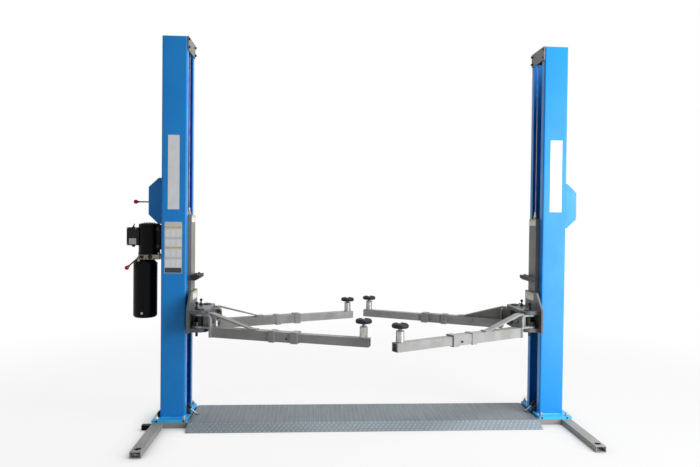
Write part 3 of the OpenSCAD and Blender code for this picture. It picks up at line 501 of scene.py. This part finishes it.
# %% Lifting pads
for key in ARM_KEYS:
    swing, reach, gap = ARM_POSE[key]
    shape = bmesh.new()
    round_edge = [(PAD_R - PAD_EDGE + PAD_EDGE * math.sin(a), PAD_EDGE - PAD_EDGE * math.cos(a)) for a in
                  (math.pi / 12 * k for k in range(1, 7))]
    disc = [(SCREW_R + 3, 0), (PAD_R - PAD_EDGE, 0)] + round_edge
    disc += [(PAD_R, SADDLE_Z - 9), (PAD_R - 0.7, SADDLE_Z - 5), (PAD_R - 2.4, SADDLE_Z - 2),
             (PAD_R - 6, SADDLE_Z), (1.0, SADDLE_Z)]
    add_turned(shape, disc, ORIGIN, steps=64)
    for quarter in range(4):
        add_lobe(shape, math.pi / 2 * quarter - math.radians(swing))
    hub = [(17, SADDLE_Z), (17, SADDLE_Z + 1.6), (16, SADDLE_Z + 2), (0.5, SADDLE_Z + 2)]
    add_turned(shape, hub, ORIGIN, steps=40)
    add_hex(shape, 15, 3, (0, 0, SADDLE_Z + 2), finish=1)
    add_turned(shape, [(24, -3), (25, -2.4), (25, 0.2), (1, 0.2)], ORIGIN, steps=40, finish=1)
    add_thread(shape, SCREW_R, -SCREW_L, -2.5, THREAD_MM, THREAD_DEEP, 1)
    place_in(arm_frame(key) @ Matrix.Translation((-reach + SLEEVE_INSET, 0, SLEEVE_TOP_Z + gap)), shape)
    pad = finish_piece(key + "_lifting_pad", shape, key + "_pad", ["moulded_black_rubber", "zinc_plated_steel"],
        "black_rubber")
    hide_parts(key + "_pad")

# %% [markdown]
# Pad sleeves are turned steel with a zinc plate, pressed into the painted inner tube.
# A thin bright shell lies over the painted solid, and a weld ring closes its foot.

# %% Pad sleeves
FOOT_Z, SKIN_R, SHELL_TOP = TUBE_Z + TUBE / 2 + 29.6, SLEEVE_R + 0.4, SLEEVE_TOP_Z + 0.3
foot_ring = [(SKIN_R + 3.6, FOOT_Z - 0.5), (SKIN_R + 3.2, FOOT_Z + 1.5), (SKIN_R + 1.6, FOOT_Z + 3.2),
             (SKIN_R, FOOT_Z + 4)]
shell = [(SKIN_R, FOOT_Z + 3), (SKIN_R, SHELL_TOP - 4), (SKIN_R - 4, SHELL_TOP), (SCREW_R + 1.6, SHELL_TOP),
         (SCREW_R + 0.6, SHELL_TOP - 1), (SCREW_R + 0.6, SHELL_TOP - 3)]
for key in ARM_KEYS:
    shape = bmesh.new()
    add_turned(shape, foot_ring, ORIGIN, steps=48, finish=1)
    add_turned(shape, shell, ORIGIN, steps=48, closed=OPEN)
    place_in(arm_frame(key) @ Matrix.Translation((-ARM_POSE[key][1] + SLEEVE_INSET, 0, 0)), shape)
    finish_piece(key + "_pad_sleeve", shape, key + "_extension", ["zinc_plated_steel", "painted_weld"],
        "steel_wire_rope")

# %% [markdown]
# Raised bars of the tread plate: low lens shapes in slanted rows 34 mm apart, which grip a wet tyre.
# Tyres scrape the paint off the bars on the ramp, and a painted highlight for the slope makes them paler still,
# so those are the brightest.

# %% One tread bar
BAR_PITCH, BAR_LONG, BAR_WIDE, BAR_HIGH, BAR_SUNK = 34.0, 25.0, 6.5, 1.6, 0.6
RAMP_SLANT, FLAT_SLANT, TOP_LONG, TOP_WIDE, BAR_SIDES = 58.0, 80.0, 0.62, 0.5, 8


def add_bar(shape, place, slope, finish=0):
    slant = math.radians(FLAT_SLANT if finish else RAMP_SLANT)
    turn = Matrix.Translation(Vector(place)) @ Matrix.Rotation(slope, 4, "X") @ Matrix.Rotation(slant, 4, "Z")
    angles = [2 * math.pi * k / BAR_SIDES for k in range(BAR_SIDES)]
    ring = [(BAR_LONG / 2 * math.cos(a), BAR_WIDE / 2 * math.sin(a)) for a in angles]
    low = [shape.verts.new(turn @ Vector((x, y, -BAR_SUNK))) for x, y in ring]
    top = [shape.verts.new(turn @ Vector((x * TOP_LONG, y * TOP_WIDE, BAR_HIGH))) for x, y in ring]
    for i in range(BAR_SIDES):
        j = (i + 1) % BAR_SIDES
        shape.faces.new((low[i], low[j], top[j], top[i])).material_index = finish
    shape.faces.new(top).material_index = finish


print("bars", BAR_LONG, "by", BAR_WIDE, "mm")

# %% [markdown]
# The bars fill the flat in a square grid, which leaves out the places where the pipes come through.
# The ramps take four staggered rows, and the lowest keeps clear of the floor.

# %% Tread bars
PLATE_HALF_X, FLAT_HALF, RAMP_L, PLATE_Z = 1286.0, 215.0, 100.0, 40.0
GRID_ROWS, GRID_EDGE, RAMP_ROWS = 6, 8, (0.1, 0.36, 0.62, 0.88)
PIPE_ZONE_X, PIPE_ZONE_Y = 1222, (-30, 18)
shape = bmesh.new()
columns = int((2 * PLATE_HALF_X - BAR_LONG) / BAR_PITCH)
slope = math.atan2(PLATE_Z, RAMP_L)
for c in range(columns + 1):
    x = -columns * BAR_PITCH / 2 + c * BAR_PITCH
    for r in range(-GRID_ROWS, GRID_ROWS + 1):
        y = r * BAR_PITCH
        at_pipe = abs(x) > PIPE_ZONE_X and PIPE_ZONE_Y[0] < y < PIPE_ZONE_Y[1]
        if abs(y) < FLAT_HALF - GRID_EDGE and not at_pipe:
            add_bar(shape, (x, y, PLATE_Z), 0, 1)
    for end in (-1, 1):
        for row, share in enumerate(RAMP_ROWS):
            stagger = BAR_PITCH / 2 if row % 2 else 0
            y = end * (FLAT_HALF + RAMP_L * share)
            add_bar(shape, (x + stagger, y, PLATE_Z * (1 - share)), -end * slope)
finish_piece("floor_tread_bars", shape, "root", ["worn_and_lit_tread_bar", "painted_tread_bar"], "checker_plate", 20)

# %% [markdown]
# The bracket at the top of each column is held by four black hexagon bolts. A bolt head is about
# two thirds as high as it is wide, and its washer about as wide as the head.

# %% Bracket bolts
def add_bolt(shape, across, place, axis, washer=True, finish=0):
    place, axis, lift = Vector(place), Vector(axis).normalized(), 0.0
    if washer:
        lift, rim = across * 0.14, across * 0.98
        add_turned(shape, [(rim * 0.97, 0), (rim, lift * 0.4), (rim, lift * 0.8), (rim * 0.96, lift)],
                   place, axis, 24, finish)
    add_hex(shape, across, across * 0.66, place + axis * lift, axis, finish)


BLACK_STEEL = (["blackened_bolt_steel"], "blackened_steel")
BRACKET_X, BRACKET_Y, BRACKET_Z, BRACKET_BOLT = 1312.0, (-127, 112), (2749, 2807), 16
shape = bmesh.new()
for side in (-1, 1):
    for y in BRACKET_Y:
        for z in BRACKET_Z:
            add_bolt(shape, BRACKET_BOLT, (side * BRACKET_X, y, z), (-side, 0, 0), washer=False)
finish_piece("bracket_bolts", shape, "root", *BLACK_STEEL)

# %% [markdown]
# Zinc plated anchors hold the base plates down: a stud with a washer and a nut. Nuts never stop at
# the same angle, so each is turned a little by its own place.

# %% Anchor studs
ANCHORS = ((1511, -186), (1317, -187), (1323, 196), (1511, 186))
shape = bmesh.new()
for side in (-1, 1):
    for x, y in ANCHORS:
        place = Vector((side * x, y, BASE_TOP))
        add_turned(shape, [(14, 0), (14.5, 0.8), (14.5, 2.2), (14, 3)], place, steps=28)
        add_hex(shape, 21, 12, place + Vector((0, 0, 3)), start=0.2 + x * 0.01)
        add_turned(shape, [(6.5, 15), (6.5, 26), (5.4, 27.5)], place, steps=16)
finish_piece("anchor_studs", shape, "root", ["zinc_plated_steel"], "steel_wire_rope")

# %% [markdown]
# Each column has a white strip of film, half a millimetre thick. A film is a thin block. With an edge
# given, the same helper rounds a block.

# %% Strips on the columns
def add_block(shape, low, high, edge=0.0, finish=0):
    made = bmesh.ops.create_cube(shape, size=1.0)["verts"]
    low, high = Vector(low), Vector(high)
    for v in made:
        v.co = Vector((low[i] + (v.co[i] + 0.5) * (high[i] - low[i]) for i in range(3)))
    if edge:
        edges = list(dict.fromkeys(e for v in made for e in v.link_edges))
        made = bmesh.ops.bevel(shape, geom=edges, offset=edge, segments=2, affect="EDGES", profile=0.5)["verts"]
    for f in {f for v in made for f in v.link_faces}:
        f.material_index = finish


def add_film(shape, low_xz, high_xz, y, proud, finish=0):
    add_block(shape, (low_xz[0], y - proud, low_xz[1]), (high_xz[0], y, high_xz[1]), finish=finish)


shape = bmesh.new()
for low_xz, high_xz in (((-1453, 1573), (-1371, 2111)), ((1374, 1586), (1463, 2123))):
    add_film(shape, low_xz, high_xz, -COLUMN_HALF_D, 0.5)
finish_piece("column_blank_strips", shape, "root", ["white_label_film"], "blue_gloss_paint")

# %% [markdown]
# A chart sheet lies on the left column below the strip: white panels, yellow bands and a dark foot.
# Each lies a hair above the sheet, so that no two faces fight.

# %% Chart sheet
SHEET_X, SHEET_Z, SHEET_PROUD = (-1474.0, -1349.0), (1110.0, 1482.0), 0.4
PANEL_STEP_X, PANEL_STEP_Z, PANEL_WIDE, PANEL_HIGH, BAND_HIGH = 40, 73, 36, 54, 11
over_sheet = -COLUMN_HALF_D - SHEET_PROUD
shape = bmesh.new()
add_film(shape, (SHEET_X[0], SHEET_Z[0]), (SHEET_X[1], SHEET_Z[1]), -COLUMN_HALF_D, SHEET_PROUD)
add_film(shape, (SHEET_X[0] + 3, SHEET_Z[0] + 3), (SHEET_X[1] - 3, SHEET_Z[0] + 38), over_sheet, 0.2, 2)
bands = [(SHEET_Z[1] - drop, BAND_HIGH, 0.2, 1) for drop in (44, 190)]
panels = [(SHEET_Z[1] - 108 - row * PANEL_STEP_Z, PANEL_HIGH, 0.15, 3) for row in range(4)]
for z, high, proud, finish in bands + panels:
    for c in range(3):
        x = SHEET_X[0] + 4 + c * PANEL_STEP_X
        add_film(shape, (x, z), (x + PANEL_WIDE, z + high), over_sheet, proud, finish)
finish_piece("operating_chart_blank", shape, "root", ["blank_label_film", "yellow_label_ink", "dark_label_ink",
    "white_label_film"], "blue_gloss_paint")

# %% [markdown]
# The two levers are turned rods with a boss on the pivot, a collar at the neck and a red ball
# pressed on the end. The ball and the rod have different finishes, so a new piece stands for each solid.

# %% A lever with its ball
BALL_R, ROD_R, BORE_R, BOSS_R = 16.0, 5.0, 5.3, 9


def add_lever(shape, long, half):
    bore = [(BORE_R, -half), (BOSS_R - 0.7, -half), (BOSS_R, 0.7 - half), (BOSS_R, half - 0.7),
            (BOSS_R - 0.7, half), (BORE_R, half)]
    add_turned(shape, bore + bore[:1], ORIGIN, (0, 1, 0), 28, closed=OPEN)
    neck = long - 15
    rod = [(ROD_R, 8.4), (ROD_R, neck - 10), (7, neck - 9), (7.6, neck - 8), (7.6, neck - 1), (6.6, neck)]
    add_turned(shape, rod, ORIGIN, (1, 0, 0), 20)
    arc = [math.radians(a) for a in range(-66, 91, 12)]
    ball = [(BALL_R * math.cos(a) + 0.01, long + BALL_R * math.sin(a)) for a in arc]
    add_turned(shape, ball, ORIGIN, (1, 0, 0), 32, 1)


print("ball", 2 * BALL_R, "mm across")

# %% [markdown]
# Both levers are drawn along X from their pivot, let down by their droop, and mirrored to the left side.

# %% Lock lever and lowering lever
MIRROR_X = Matrix.Diagonal((-1, 1, 1, 1))
# Node, pivot, droop in degrees, length to the ball, half the width of the boss.
LEVERS = (("lock_lever", (1560, 0, 1628), 0, 158, 15), ("lowering_lever", (1671, -78, 1224), 43, 120, 7))
for node, pivot, droop, long, boss_half in LEVERS:
    shape = bmesh.new()
    add_lever(shape, long, boss_half)
    place_in(MIRROR_X @ Matrix.Translation(pivot) @ Matrix.Rotation(math.radians(droop), 4, "Y"), shape)
    dressed = finish_piece(node + "_dressed", shape, node, ["blackened_bolt_steel", "red_phenolic_ball"],
        "blackened_steel", 30)
    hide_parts(node)

# %% [markdown]
# The oil tank is a pressed steel can with a rolled seam near each end and a drain plug at the foot.

# %% Oil tank
TANK_X, TANK_Z, TANK_R, TANK_SEAMS, DRAIN_X, DRAIN_Z = -1645.0, 770.0, 86.0, (23, 402), -1648, 808
SEAM_WIDE, SEAM_PROUD = 7, 0.9


def add_seam(shape, x, z, radius, wide, proud):
    ridge = [(radius - 0.6, -wide / 2), (radius + proud * 0.8, -wide / 3), (radius + proud, 0),
             (radius + proud * 0.8, wide / 3), (radius - 0.6, wide / 2)]
    add_turned(shape, ridge, (x, 0, z), steps=72, closed=OPEN)


shape = bmesh.new()
for height in TANK_SEAMS:
    add_seam(shape, TANK_X, TANK_Z + height, TANK_R, SEAM_WIDE, SEAM_PROUD)
add_turned(shape, [(9.5, 0), (9.5, 2), (8.5, 3)], (DRAIN_X, -TANK_R + 0.6, DRAIN_Z), FRONT, 28, 1)
add_hex(shape, 14, 6, (DRAIN_X, -TANK_R - 1, DRAIN_Z), FRONT, 1)
finish_piece("tank_fittings", shape, "root", ["black_stove_enamel", "zinc_plated_steel"], "black_enamel")

# %% [markdown]
# A swept tube follows a line of points, and its ring turns as little as it can at each corner, so it
# never twists. A ripple lets the radius swell and narrow, for welds.

# %% Swept tubes
def add_sweep(shape, points, radius, sides=8, finish=0, ripple=0.0):
    points = [Vector(p) for p in points]
    ahead = (points[1] - points[0]).normalized()
    side = ahead.orthogonal().normalized()
    rings = []
    for i, p in enumerate(points):
        new_ahead = (points[min(i + 1, len(points) - 1)] - points[max(i - 1, 0)]).normalized()
        side = (ahead.rotation_difference(new_ahead) @ side).normalized()
        ahead = new_ahead
        up = ahead.cross(side)
        r = radius * (1 + ripple * noise.noise(p * 0.9))
        rings.append([p + side * r * math.cos(a) + up * r * math.sin(a) for a in
                      (2 * math.pi * k / sides for k in range(sides))])
    add_rings(shape, rings, finish)


print("swept tubes are ready")

# %% [markdown]
# The valve block is a casting full of ports: two plugs and two screws in front, the pressure outlet
# and a cap on the right, and on the left a bent spout with a black sleeve beside the lowering lever.

# %% Valve block
BLOCK_FRONT, PLUG_Z, PLUGS, SCREW_Z, SCREWS = -55.0, 1219.5, ((-1599, 14), (-1657, 9.5)), 1209, (-1570, -1628)
shape = bmesh.new()
for x, r in PLUGS:
    plug = [(r + 2.5, 0), (r + 2.5, 2), (r, 3.2), (r, 10), (r - 1.5, 12), (r * 0.5, 12), (r * 0.5, 7), (0.6, 7)]
    add_turned(shape, plug, (x, BLOCK_FRONT, PLUG_Z), FRONT, 32)
add_hex(shape, 24, 10, (-1531, -30, 1221), (1, 0, 0), 1)
outlet = [(9, 0), (9, 8), (7, 10), (7, 16), (5.5, 17)]
add_turned(shape, outlet, (-1521, -30, 1221), (1, 0, 0), 24, 1)
cap = [(11, 0), (11.5, 1), (11.5, 13), (9, 16)]
add_turned(shape, cap, (-1541, -30, 1238), (0, 0, 1), 24, 1)
spout = [(9, 0), (9.5, 1), (9.5, 12), (8, 14)]
add_turned(shape, spout, (-1680, -59, 1189), (-0.2, 0, 1), 24, 2)
add_sweep(shape, [(-1682, -59, 1193), (-1687, -60, 1197), (-1692, -60, 1194)], 5.0, 10, 2)
add_turned(shape, [(6, 0), (7.5, 1.5), (7.5, 15), (6, 17)], (-1690, -60, 1196), (-0.62, 0, -0.78), 24)
for x in SCREWS:
    add_turned(shape, [(4.5, 0), (4.5, 1.2), (3.4, 1.6), (3.4, 0.4), (0.5, 0.4)], (x, BLOCK_FRONT, SCREW_Z),
               FRONT, 18)
finish_piece("valve_block_fittings", shape, "root", ["blackened_bolt_steel", "zinc_plated_steel",
    "sand_cast_aluminium"], "blackened_steel")

# %% [markdown]
# The motor is a rolled steel shell between two end bells. Pairs of narrow ridges mark where
# they meet, and four through bolts and a cap show on top.

# %% Motor
MOTOR_X, MOTOR_R, MOTOR_TOP, BOLT_CIRCLE_R = -1617.0, 77.0, 1471, 40
shape = bmesh.new()
for z in (1256, 1262, 1440, 1447):
    add_seam(shape, MOTOR_X, z, MOTOR_R, 4, 0.8)
for k in range(4):
    a = math.radians(45 + 90 * k)
    add_hex(shape, 8, 4, (MOTOR_X + BOLT_CIRCLE_R * math.cos(a), BOLT_CIRCLE_R * math.sin(a), MOTOR_TOP))
add_turned(shape, [(22, 0), (22, 2.5), (19, 3.6), (0.5, 3.6)], (MOTOR_X, 0, MOTOR_TOP), steps=36)
finish_piece("motor_seams", shape, "root", ["black_stove_enamel"], "black_enamel")

# %% [markdown]
# The switch box is black ABS. Its lid has a soft edge, a bare rating plate and four screws. A toggle
# stands on top in its collar, and a cable gland hangs below.

# %% Switch box
BOX_FRONT = -48.0
LID_FRONT = BOX_FRONT - 2.2
shape = bmesh.new()
add_block(shape, (-1768.5, LID_FRONT, 1307), (-1697, BOX_FRONT, 1436), 1.2)
add_block(shape, (-1753, LID_FRONT - 0.6, 1313), (-1701, LID_FRONT, 1357), finish=1)
for x in (-1763, -1703):
    for z in (1312, 1431):
        add_turned(shape, [(3.4, 0), (3.4, 1.4), (2.6, 2), (0.5, 2)], (x, LID_FRONT, z), FRONT, 14, 2)
add_turned(shape, [(11, 0), (11, 3), (8, 5), (6.5, 9), (5, 10)], (-1727, -26, 1438), steps=24)
add_turned(shape, [(4.2, 0), (4.2, 17), (3.4, 20), (1, 21)], (-1727, -26, 1446), (0.42, -0.12, 1), 18)
add_turned(shape, [(14, 0), (14, 5), (11, 6.5), (11, 12), (8, 14)], (-1738, 18, 1305), (0, 0, -1), 24)
finish_piece("switch_box_lid", shape, "root", ["moulded_black_abs", "brushed_rating_plate",
    "zinc_plated_steel"], "black_plastic")

# %% [markdown]
# Four bolts with washers hold the power unit to its bracket, two from the front and two from behind.

# %% Pump bracket bolts
shape = bmesh.new()
for z in (1300, 1426):
    for end in (-1, 1):
        add_bolt(shape, 13, (-1545, end * 46, z), (0, end, 0))
finish_piece("pump_bracket_bolts", shape, "root", *BLACK_STEEL)

# %% [markdown]
# The oil line crosses under the floor plate. At each column foot a black hose ends in a nut, and
# a bright steel pipe dips through a rubber ring in the plate. Dark plugs sit in the front edges of
# the base plates, and a hose elbow stands at the left corner.

# %% Column foot fittings
PIPE_Y, PLUG_Y = -6.0, -204
# Places along the hose and the pipe, as X and Z.
HOSE_LINE = ((1384, 128), (1368, 127), (1348, 123), (1330, 115), (1316, 103), (1309, 90))
PIPE_LINE = ((1311, 92), (1306, 83), (1290, 68), (1270, 52), (1256, 42), (1248, 38))
shape = bmesh.new()
for side in (-1, 1):
    add_sweep(shape, [(side * x, PIPE_Y, z) for x, z in HOSE_LINE], 8.5, 14, 1)
    add_hex(shape, 20, 13, (side * 1310, PIPE_Y, 95), (-side * 0.35, 0, -1), 1)
    add_sweep(shape, [(side * x, PIPE_Y, z) for x, z in PIPE_LINE], 4.8, 12)
    grommet = [(6, 0), (13, 0), (13, 2), (11, 3.4), (6, 3.4), (6, 0)]
    add_turned(shape, grommet, (side * 1254, PIPE_Y, PLATE_Z), steps=28, finish=1, closed=OPEN)
for side in (-1, 1):
    for x in (1318, 1510):
        plug = [(7, 0), (7, 1.2), (5.5, 1.6), (5.5, 0.4), (0.5, 0.4)]
        add_turned(shape, plug, (side * x, PLUG_Y, 49), FRONT, 20, 1)
fitting = [(12, 0), (12, 8), (10, 10), (10, 15), (12, 17), (12, 26), (9, 29)]
add_turned(shape, fitting, (-1514, -114, BASE_TOP), steps=28, finish=1)
add_sweep(shape, [(-1514, -114, 80), (-1513, -111, 88), (-1509, -108, 93), (-1502, -107, 94)], 8, 12, 1)
finish_piece("oil_line_ends", shape, "root", ["zinc_plated_steel", "moulded_black_rubber"], "steel_wire_rope")

# %% [markdown]
# Beside the left leg the black open end of a cross tube shows. Its skin runs round the outside and
# back through the inside, so the wall has its real 3 mm.

# %% Cross tube end
TUBE_ENDS, TUBE_Y, TUBE_HEIGHTS, WALL = (-1604.0, -1537.5), (-245, -207), (1, 36), 3


def square_ring(x, wall):
    y0, y1, z0, z1 = TUBE_Y[0] + wall, TUBE_Y[1] - wall, TUBE_HEIGHTS[0] + wall, TUBE_HEIGHTS[1] - wall
    return [Vector((x, y, z)) for y, z in ((y0, z0), (y1, z0), (y1, z1), (y0, z1))]


shape = bmesh.new()
around = [square_ring(x, 0) for x in TUBE_ENDS] + [square_ring(x, WALL) for x in TUBE_ENDS[::-1]]
add_rings(shape, around + [square_ring(TUBE_ENDS[0], 0)], closed=OPEN)
finish_piece("cross_tube_end", shape, "root", ["black_stove_enamel"], "black_enamel")

# %% [markdown]
# Weld beads. A hand laid bead is a round ridge that swells and narrows, so a swept tube with
# a rippling radius gives it. Beads are painted with the part that they hold.

# %% Weld beads
BEAD_STEP, BEAD_RIPPLE = 9.0, 0.35


def along(a, b, step=BEAD_STEP):
    a, b = Vector(a), Vector(b)
    n = max(2, int((b - a).length / step))
    return [a.lerp(b, k / n) for k in range(n + 1)]


def add_bead(shape, corners, radius):
    path = []
    for a, b in zip(corners, corners[1:]):
        path += along(a, b)[:-1]
    add_sweep(shape, path + [Vector(corners[-1])], radius, 6, ripple=BEAD_RIPPLE)


print("a bead of 100 mm has", len(along((0, 0, 0), (100, 0, 0))), "rings")

# %% [markdown]
# Each column is welded to its base plate round three sides and at the foot of both lips.

# %% Welds at the column feet
WELD_Z = BASE_TOP + 1
shape = bmesh.new()
for side in (-1, 1):
    x0, x1, x2 = side * (LIP_X + 6), side * (COLUMN_OUT_X - 12), side * (COLUMN_OUT_X + 1)
    corners = ((x0, -141), (x1, -141), (x2, -128), (x2, 128), (x1, 141), (x0, 141))
    add_bead(shape, [(x, y, WELD_Z) for x, y in corners], 4.0)
    for end in (-1, 1):
        lip = side * (LIP_X - 1)
        add_bead(shape, [(lip, end * 86, WELD_Z), (lip, end * 130, WELD_Z)], 3.4)
finish_piece("column_foot_welds", shape, "root", ["blue_base_enamel"], "blue_gloss_paint")

# %% [markdown]
# The yoke is welded to its carriage: long beads along the fork plates and two upright ones behind.

# %% Welds on the yokes
FORK_WELDS = (847.5, 688.8, 718.8)
for side_name, side in SIDES:
    shape = bmesh.new()
    for z in FORK_WELDS:
        add_bead(shape, [(side * 1280.5, -206, z), (side * 1280.5, 206, z)], 3.0)
    for end in (-1, 1):
        add_bead(shape, [(side * 1296, end * 75.5, 694), (side * 1296, end * 75.5, 970)], 3.0)
    finish_piece(side_name + "_yoke_welds", shape, side_name + "_carriage", ["grey_yoke_enamel"],
        "grey_arm_paint")

# %% [markdown]
# On an arm, beads run round the tube at the end plate, at both edges of the doubler band and behind
# the mouth collar, and along the foot of the brace and the ear.

# %% Welds on the arms
MOUTH_R, BAND_R, BAND_L, END_FACE_R, BRACE_L, EAR_TOP_Z = 770.0, 556.0, 42.0, 107.0, 350, 820.0
half, low, high = TUBE / 2 + 0.5, TUBE_Z - 0.5, TUBE_Z + TUBE + 0.5
round_tube = [(-half, low), (half, low), (half, high), (-half, high), (-half, low)]
brace_r, brace_z = END_FACE_R + BRACE_L, high + 1
for key in ARM_KEYS:
    shape = bmesh.new()
    add_bead(shape, [(-END_FACE_R - 1, y, z) for y, z in round_tube], 3.4)
    for r in (BAND_R - 0.5, BAND_R + BAND_L + 0.5, MOUTH_R - 50.5):
        add_bead(shape, [(-r, y, z) for y, z in round_tube], 2.4)
    add_bead(shape, [(-brace_r - 1, -24, brace_z), (-brace_r - 1, 24, brace_z)], 3.6)
    for side_y in (-26.5, 26.5):
        add_bead(shape, [(-brace_r, side_y, brace_z), (-brace_r + 60, side_y, brace_z)], 2.8)
    add_bead(shape, [(-72, -24, EAR_TOP_Z + 2), (-72, 24, EAR_TOP_Z + 2)], 3.0)
    place_in(arm_frame(key), shape)
    finish_piece(key + "_arm_welds", shape, key + "_arm", ["grey_arm_enamel"], "grey_arm_paint")

# %% [markdown]
# At the root of each arm the lock works: a blackened toothed sector and a boss round the pin, drawn black
# also as painted shade at the arm root. The sector's rim is drawn tooth by tooth and closed along the inner
# arc.

# %% A toothed sector
TEETH, TIP_R, TOOTH_HIGH, BOSS_SKIN_R, INNER_R = 12, 50.4, 5.0, 28.6, 28.4
SECTOR_Z, BOSS_Z = (732.3, 762.6), (762, 807.4)


def add_sector(shape):
    step, root_r = math.pi / TEETH, TIP_R - TOOTH_HIGH
    rim = [(0.0, -TIP_R + TOOTH_HIGH)]
    for i in range(TEETH):
        mid = (i + 0.5) * step - math.pi / 2
        for part, r in ((-1 / 3, root_r), (-1 / 6.4, TIP_R), (1 / 6.4, TIP_R), (1 / 3, root_r)):
            rim.append((r * math.cos(mid + part * step), r * math.sin(mid + part * step)))
    rim.append((0.0, root_r))
    rim += [(-INNER_R * math.sin(a), INNER_R * math.cos(a)) for a in (math.pi * k / 12 for k in range(13))]
    add_rings(shape, [[Vector((x, y, z)) for x, y in rim] for z in SECTOR_Z])
    add_turned(shape, [(BOSS_SKIN_R, z) for z in BOSS_Z], ORIGIN, steps=40, closed=OPEN)


print("teeth", TEETH)

# %% [markdown]
# A stop screw in the side of each arm keeps the inner tube from sliding out. The lock rod, which
# drops into the teeth, ends in a round nut.

# %% Lock sectors, stop screws and rod nuts
STOP_X, STOP_Z, ROD_X, ROD_Y, ROD_NUT_Z = -692, 683, 1250, 90, 641
for key in ARM_KEYS:
    shape = bmesh.new()
    add_sector(shape)
    add_bolt(shape, 13, (STOP_X, -TUBE / 2, STOP_Z), FRONT, washer=False)
    place_in(arm_frame(key), shape)
    finish_piece(key + "_lock_sector", shape, key + "_arm", *BLACK_STEEL)
    shape = bmesh.new()
    side, end = (-1 if "left" in key else 1), (1 if "back" in key else -1)
    nut = [(8, 0), (9.5, 1.5), (9.5, 27), (8, 28.5)]
    add_turned(shape, nut, (side * ROD_X, end * ROD_Y, ROD_NUT_Z), steps=24)
    finish_piece(key + "_lock_rod_nut", shape, key + "_lock_rod", *BLACK_STEEL)

# %% [markdown]
# A cable is tied to each carriage by a threaded stud with two nuts. Each arm pin carries
# a circlip and a grease nipple, and each lock rod slides in a flanged ring.

# %% Studs and pins of a carriage
CARRIAGE_TOP, STUD_X, STUD_R, STUD_L, STUD_PITCH, STUD_DEEP = 1532.0, 1335.0, 12.1, 40, 4.0, 1.1
PIN_TOP, RING_Z = 852.0, 846


def add_cable_stud(shape, x, y):
    threaded = bmesh.new()
    add_thread(threaded, STUD_R, 0, STUD_L, STUD_PITCH, STUD_DEEP, 0)
    place_in(Matrix.Translation((x, y, CARRIAGE_TOP + 16.5)), threaded)
    mesh = bpy.data.meshes.new("stud_thread")
    threaded.to_mesh(mesh)
    threaded.free()
    shape.from_mesh(mesh)
    bpy.data.meshes.remove(mesh)
    add_hex(shape, 32, 15.6, (x, y, CARRIAGE_TOP + 0.6))
    add_hex(shape, 30, 10, (x, y, CARRIAGE_TOP + 17))


def add_pin_caps(shape, side):
    circlip = [(29, 0), (29, 0.8), (24, 1.8), (9, 1.8), (8, 0.6), (0.5, 0.6)]
    nipple = [(4, 0.6), (4, 4), (2.6, 5), (3.2, 7), (2, 9)]
    rod_ring = [(12.6, 0), (16, 0), (16, 3), (12.6, 3)]
    for end in (-1, 1):
        place = (side * PIN_X, end * PIN_Y, PIN_TOP)
        add_turned(shape, circlip, place, steps=40, finish=1)
        add_turned(shape, nipple, place, steps=14)
        add_turned(shape, rod_ring, (side * ROD_X, end * ROD_Y, RING_Z), steps=28, finish=1, closed=OPEN)


print("stud thread", STUD_L, "mm long")

# %% [markdown]
# The door guard is a rubber bumper with three ribs, held by two bolts. A small film with
# a yellow band sits at the top of each carriage and another on each yoke.

# %% Guard ribs and films of a carriage
RIB_X, RIB_HALF_Y, RIB_HALF_Z, RIBS = (1231.6, 1234), 95, 1.4, (1074, 1081, 1088)
CARRIAGE_FACE_X, YOKE_FACE_X = 1295.0, 1281.0
# Face, Y from and to, Z from and to, and the height of the band.
FILMS = ((CARRIAGE_FACE_X, -62, 66, 1481, 1529, 14), (YOKE_FACE_X, -84, 80, 908, 964, 16))


def add_guard_ribs(shape, side):
    for y in (-62, 62):
        add_bolt(shape, 13, (side * 1262, y, 1093), (0, 0, 1), finish=1, washer=False)
    near, far = sorted(side * x for x in RIB_X)
    for z in RIBS:
        add_block(shape, (near, -RIB_HALF_Y, z - RIB_HALF_Z), (far, RIB_HALF_Y, z + RIB_HALF_Z), 0.5)


def add_carriage_films(shape, side):
    for face, y0, y1, z0, z1, band in FILMS:
        near, far = sorted((side * face, side * (face - 0.5)))
        add_block(shape, (near, y0, z0), (far, y1, z1))
        near, far = sorted((side * (face - 0.5), side * (face - 0.8)))
        add_block(shape, (near, y0 + 3, z1 - band), (far, y1 - 3, z1 - 2), finish=1)


print("films", len(FILMS), "a carriage")

# %% [markdown]
# The three helpers are now used on both carriages, and each piece rides up with its own.

# %% Carriage fittings
for (side_name, side), stud_y in zip(SIDES, (26.4, 46.4)):
    body = side_name + "_carriage"
    shape = bmesh.new()
    add_cable_stud(shape, side * STUD_X, stud_y)
    add_pin_caps(shape, side)
    finish_piece(side_name + "_carriage_fittings", shape, body, ["zinc_plated_steel", "blackened_bolt_steel"],
        "steel_wire_rope")
    shape = bmesh.new()
    add_guard_ribs(shape, side)
    finish_piece(side_name + "_guard_ribs", shape, body, ["moulded_black_rubber", "blackened_bolt_steel"],
        "black_rubber")
    shape = bmesh.new()
    add_carriage_films(shape, side)
    finish_piece(side_name + "_carriage_films", shape, body, ["white_label_film", "yellow_label_ink"],
        "grey_arm_paint")

# %% [markdown]
# The lock covers are held by pan head screws through their side flanges.

# %% Cover screws
COVER_X, COVER_HALF_Y, COVER_SCREWS = 1512, 75, (1503, 1636, 1768)
shape = bmesh.new()
for side in (-1, 1):
    for end in (-1, 1):
        for z in COVER_SCREWS:
            add_turned(shape, [(6.4, 0), (6.4, 1.4), (5, 3.2), (0.5, 3.6)],
                       (side * COVER_X, end * COVER_HALF_Y, z), (0, end, 0), 20)
finish_piece("cover_screws", shape, "root", *BLACK_STEEL)
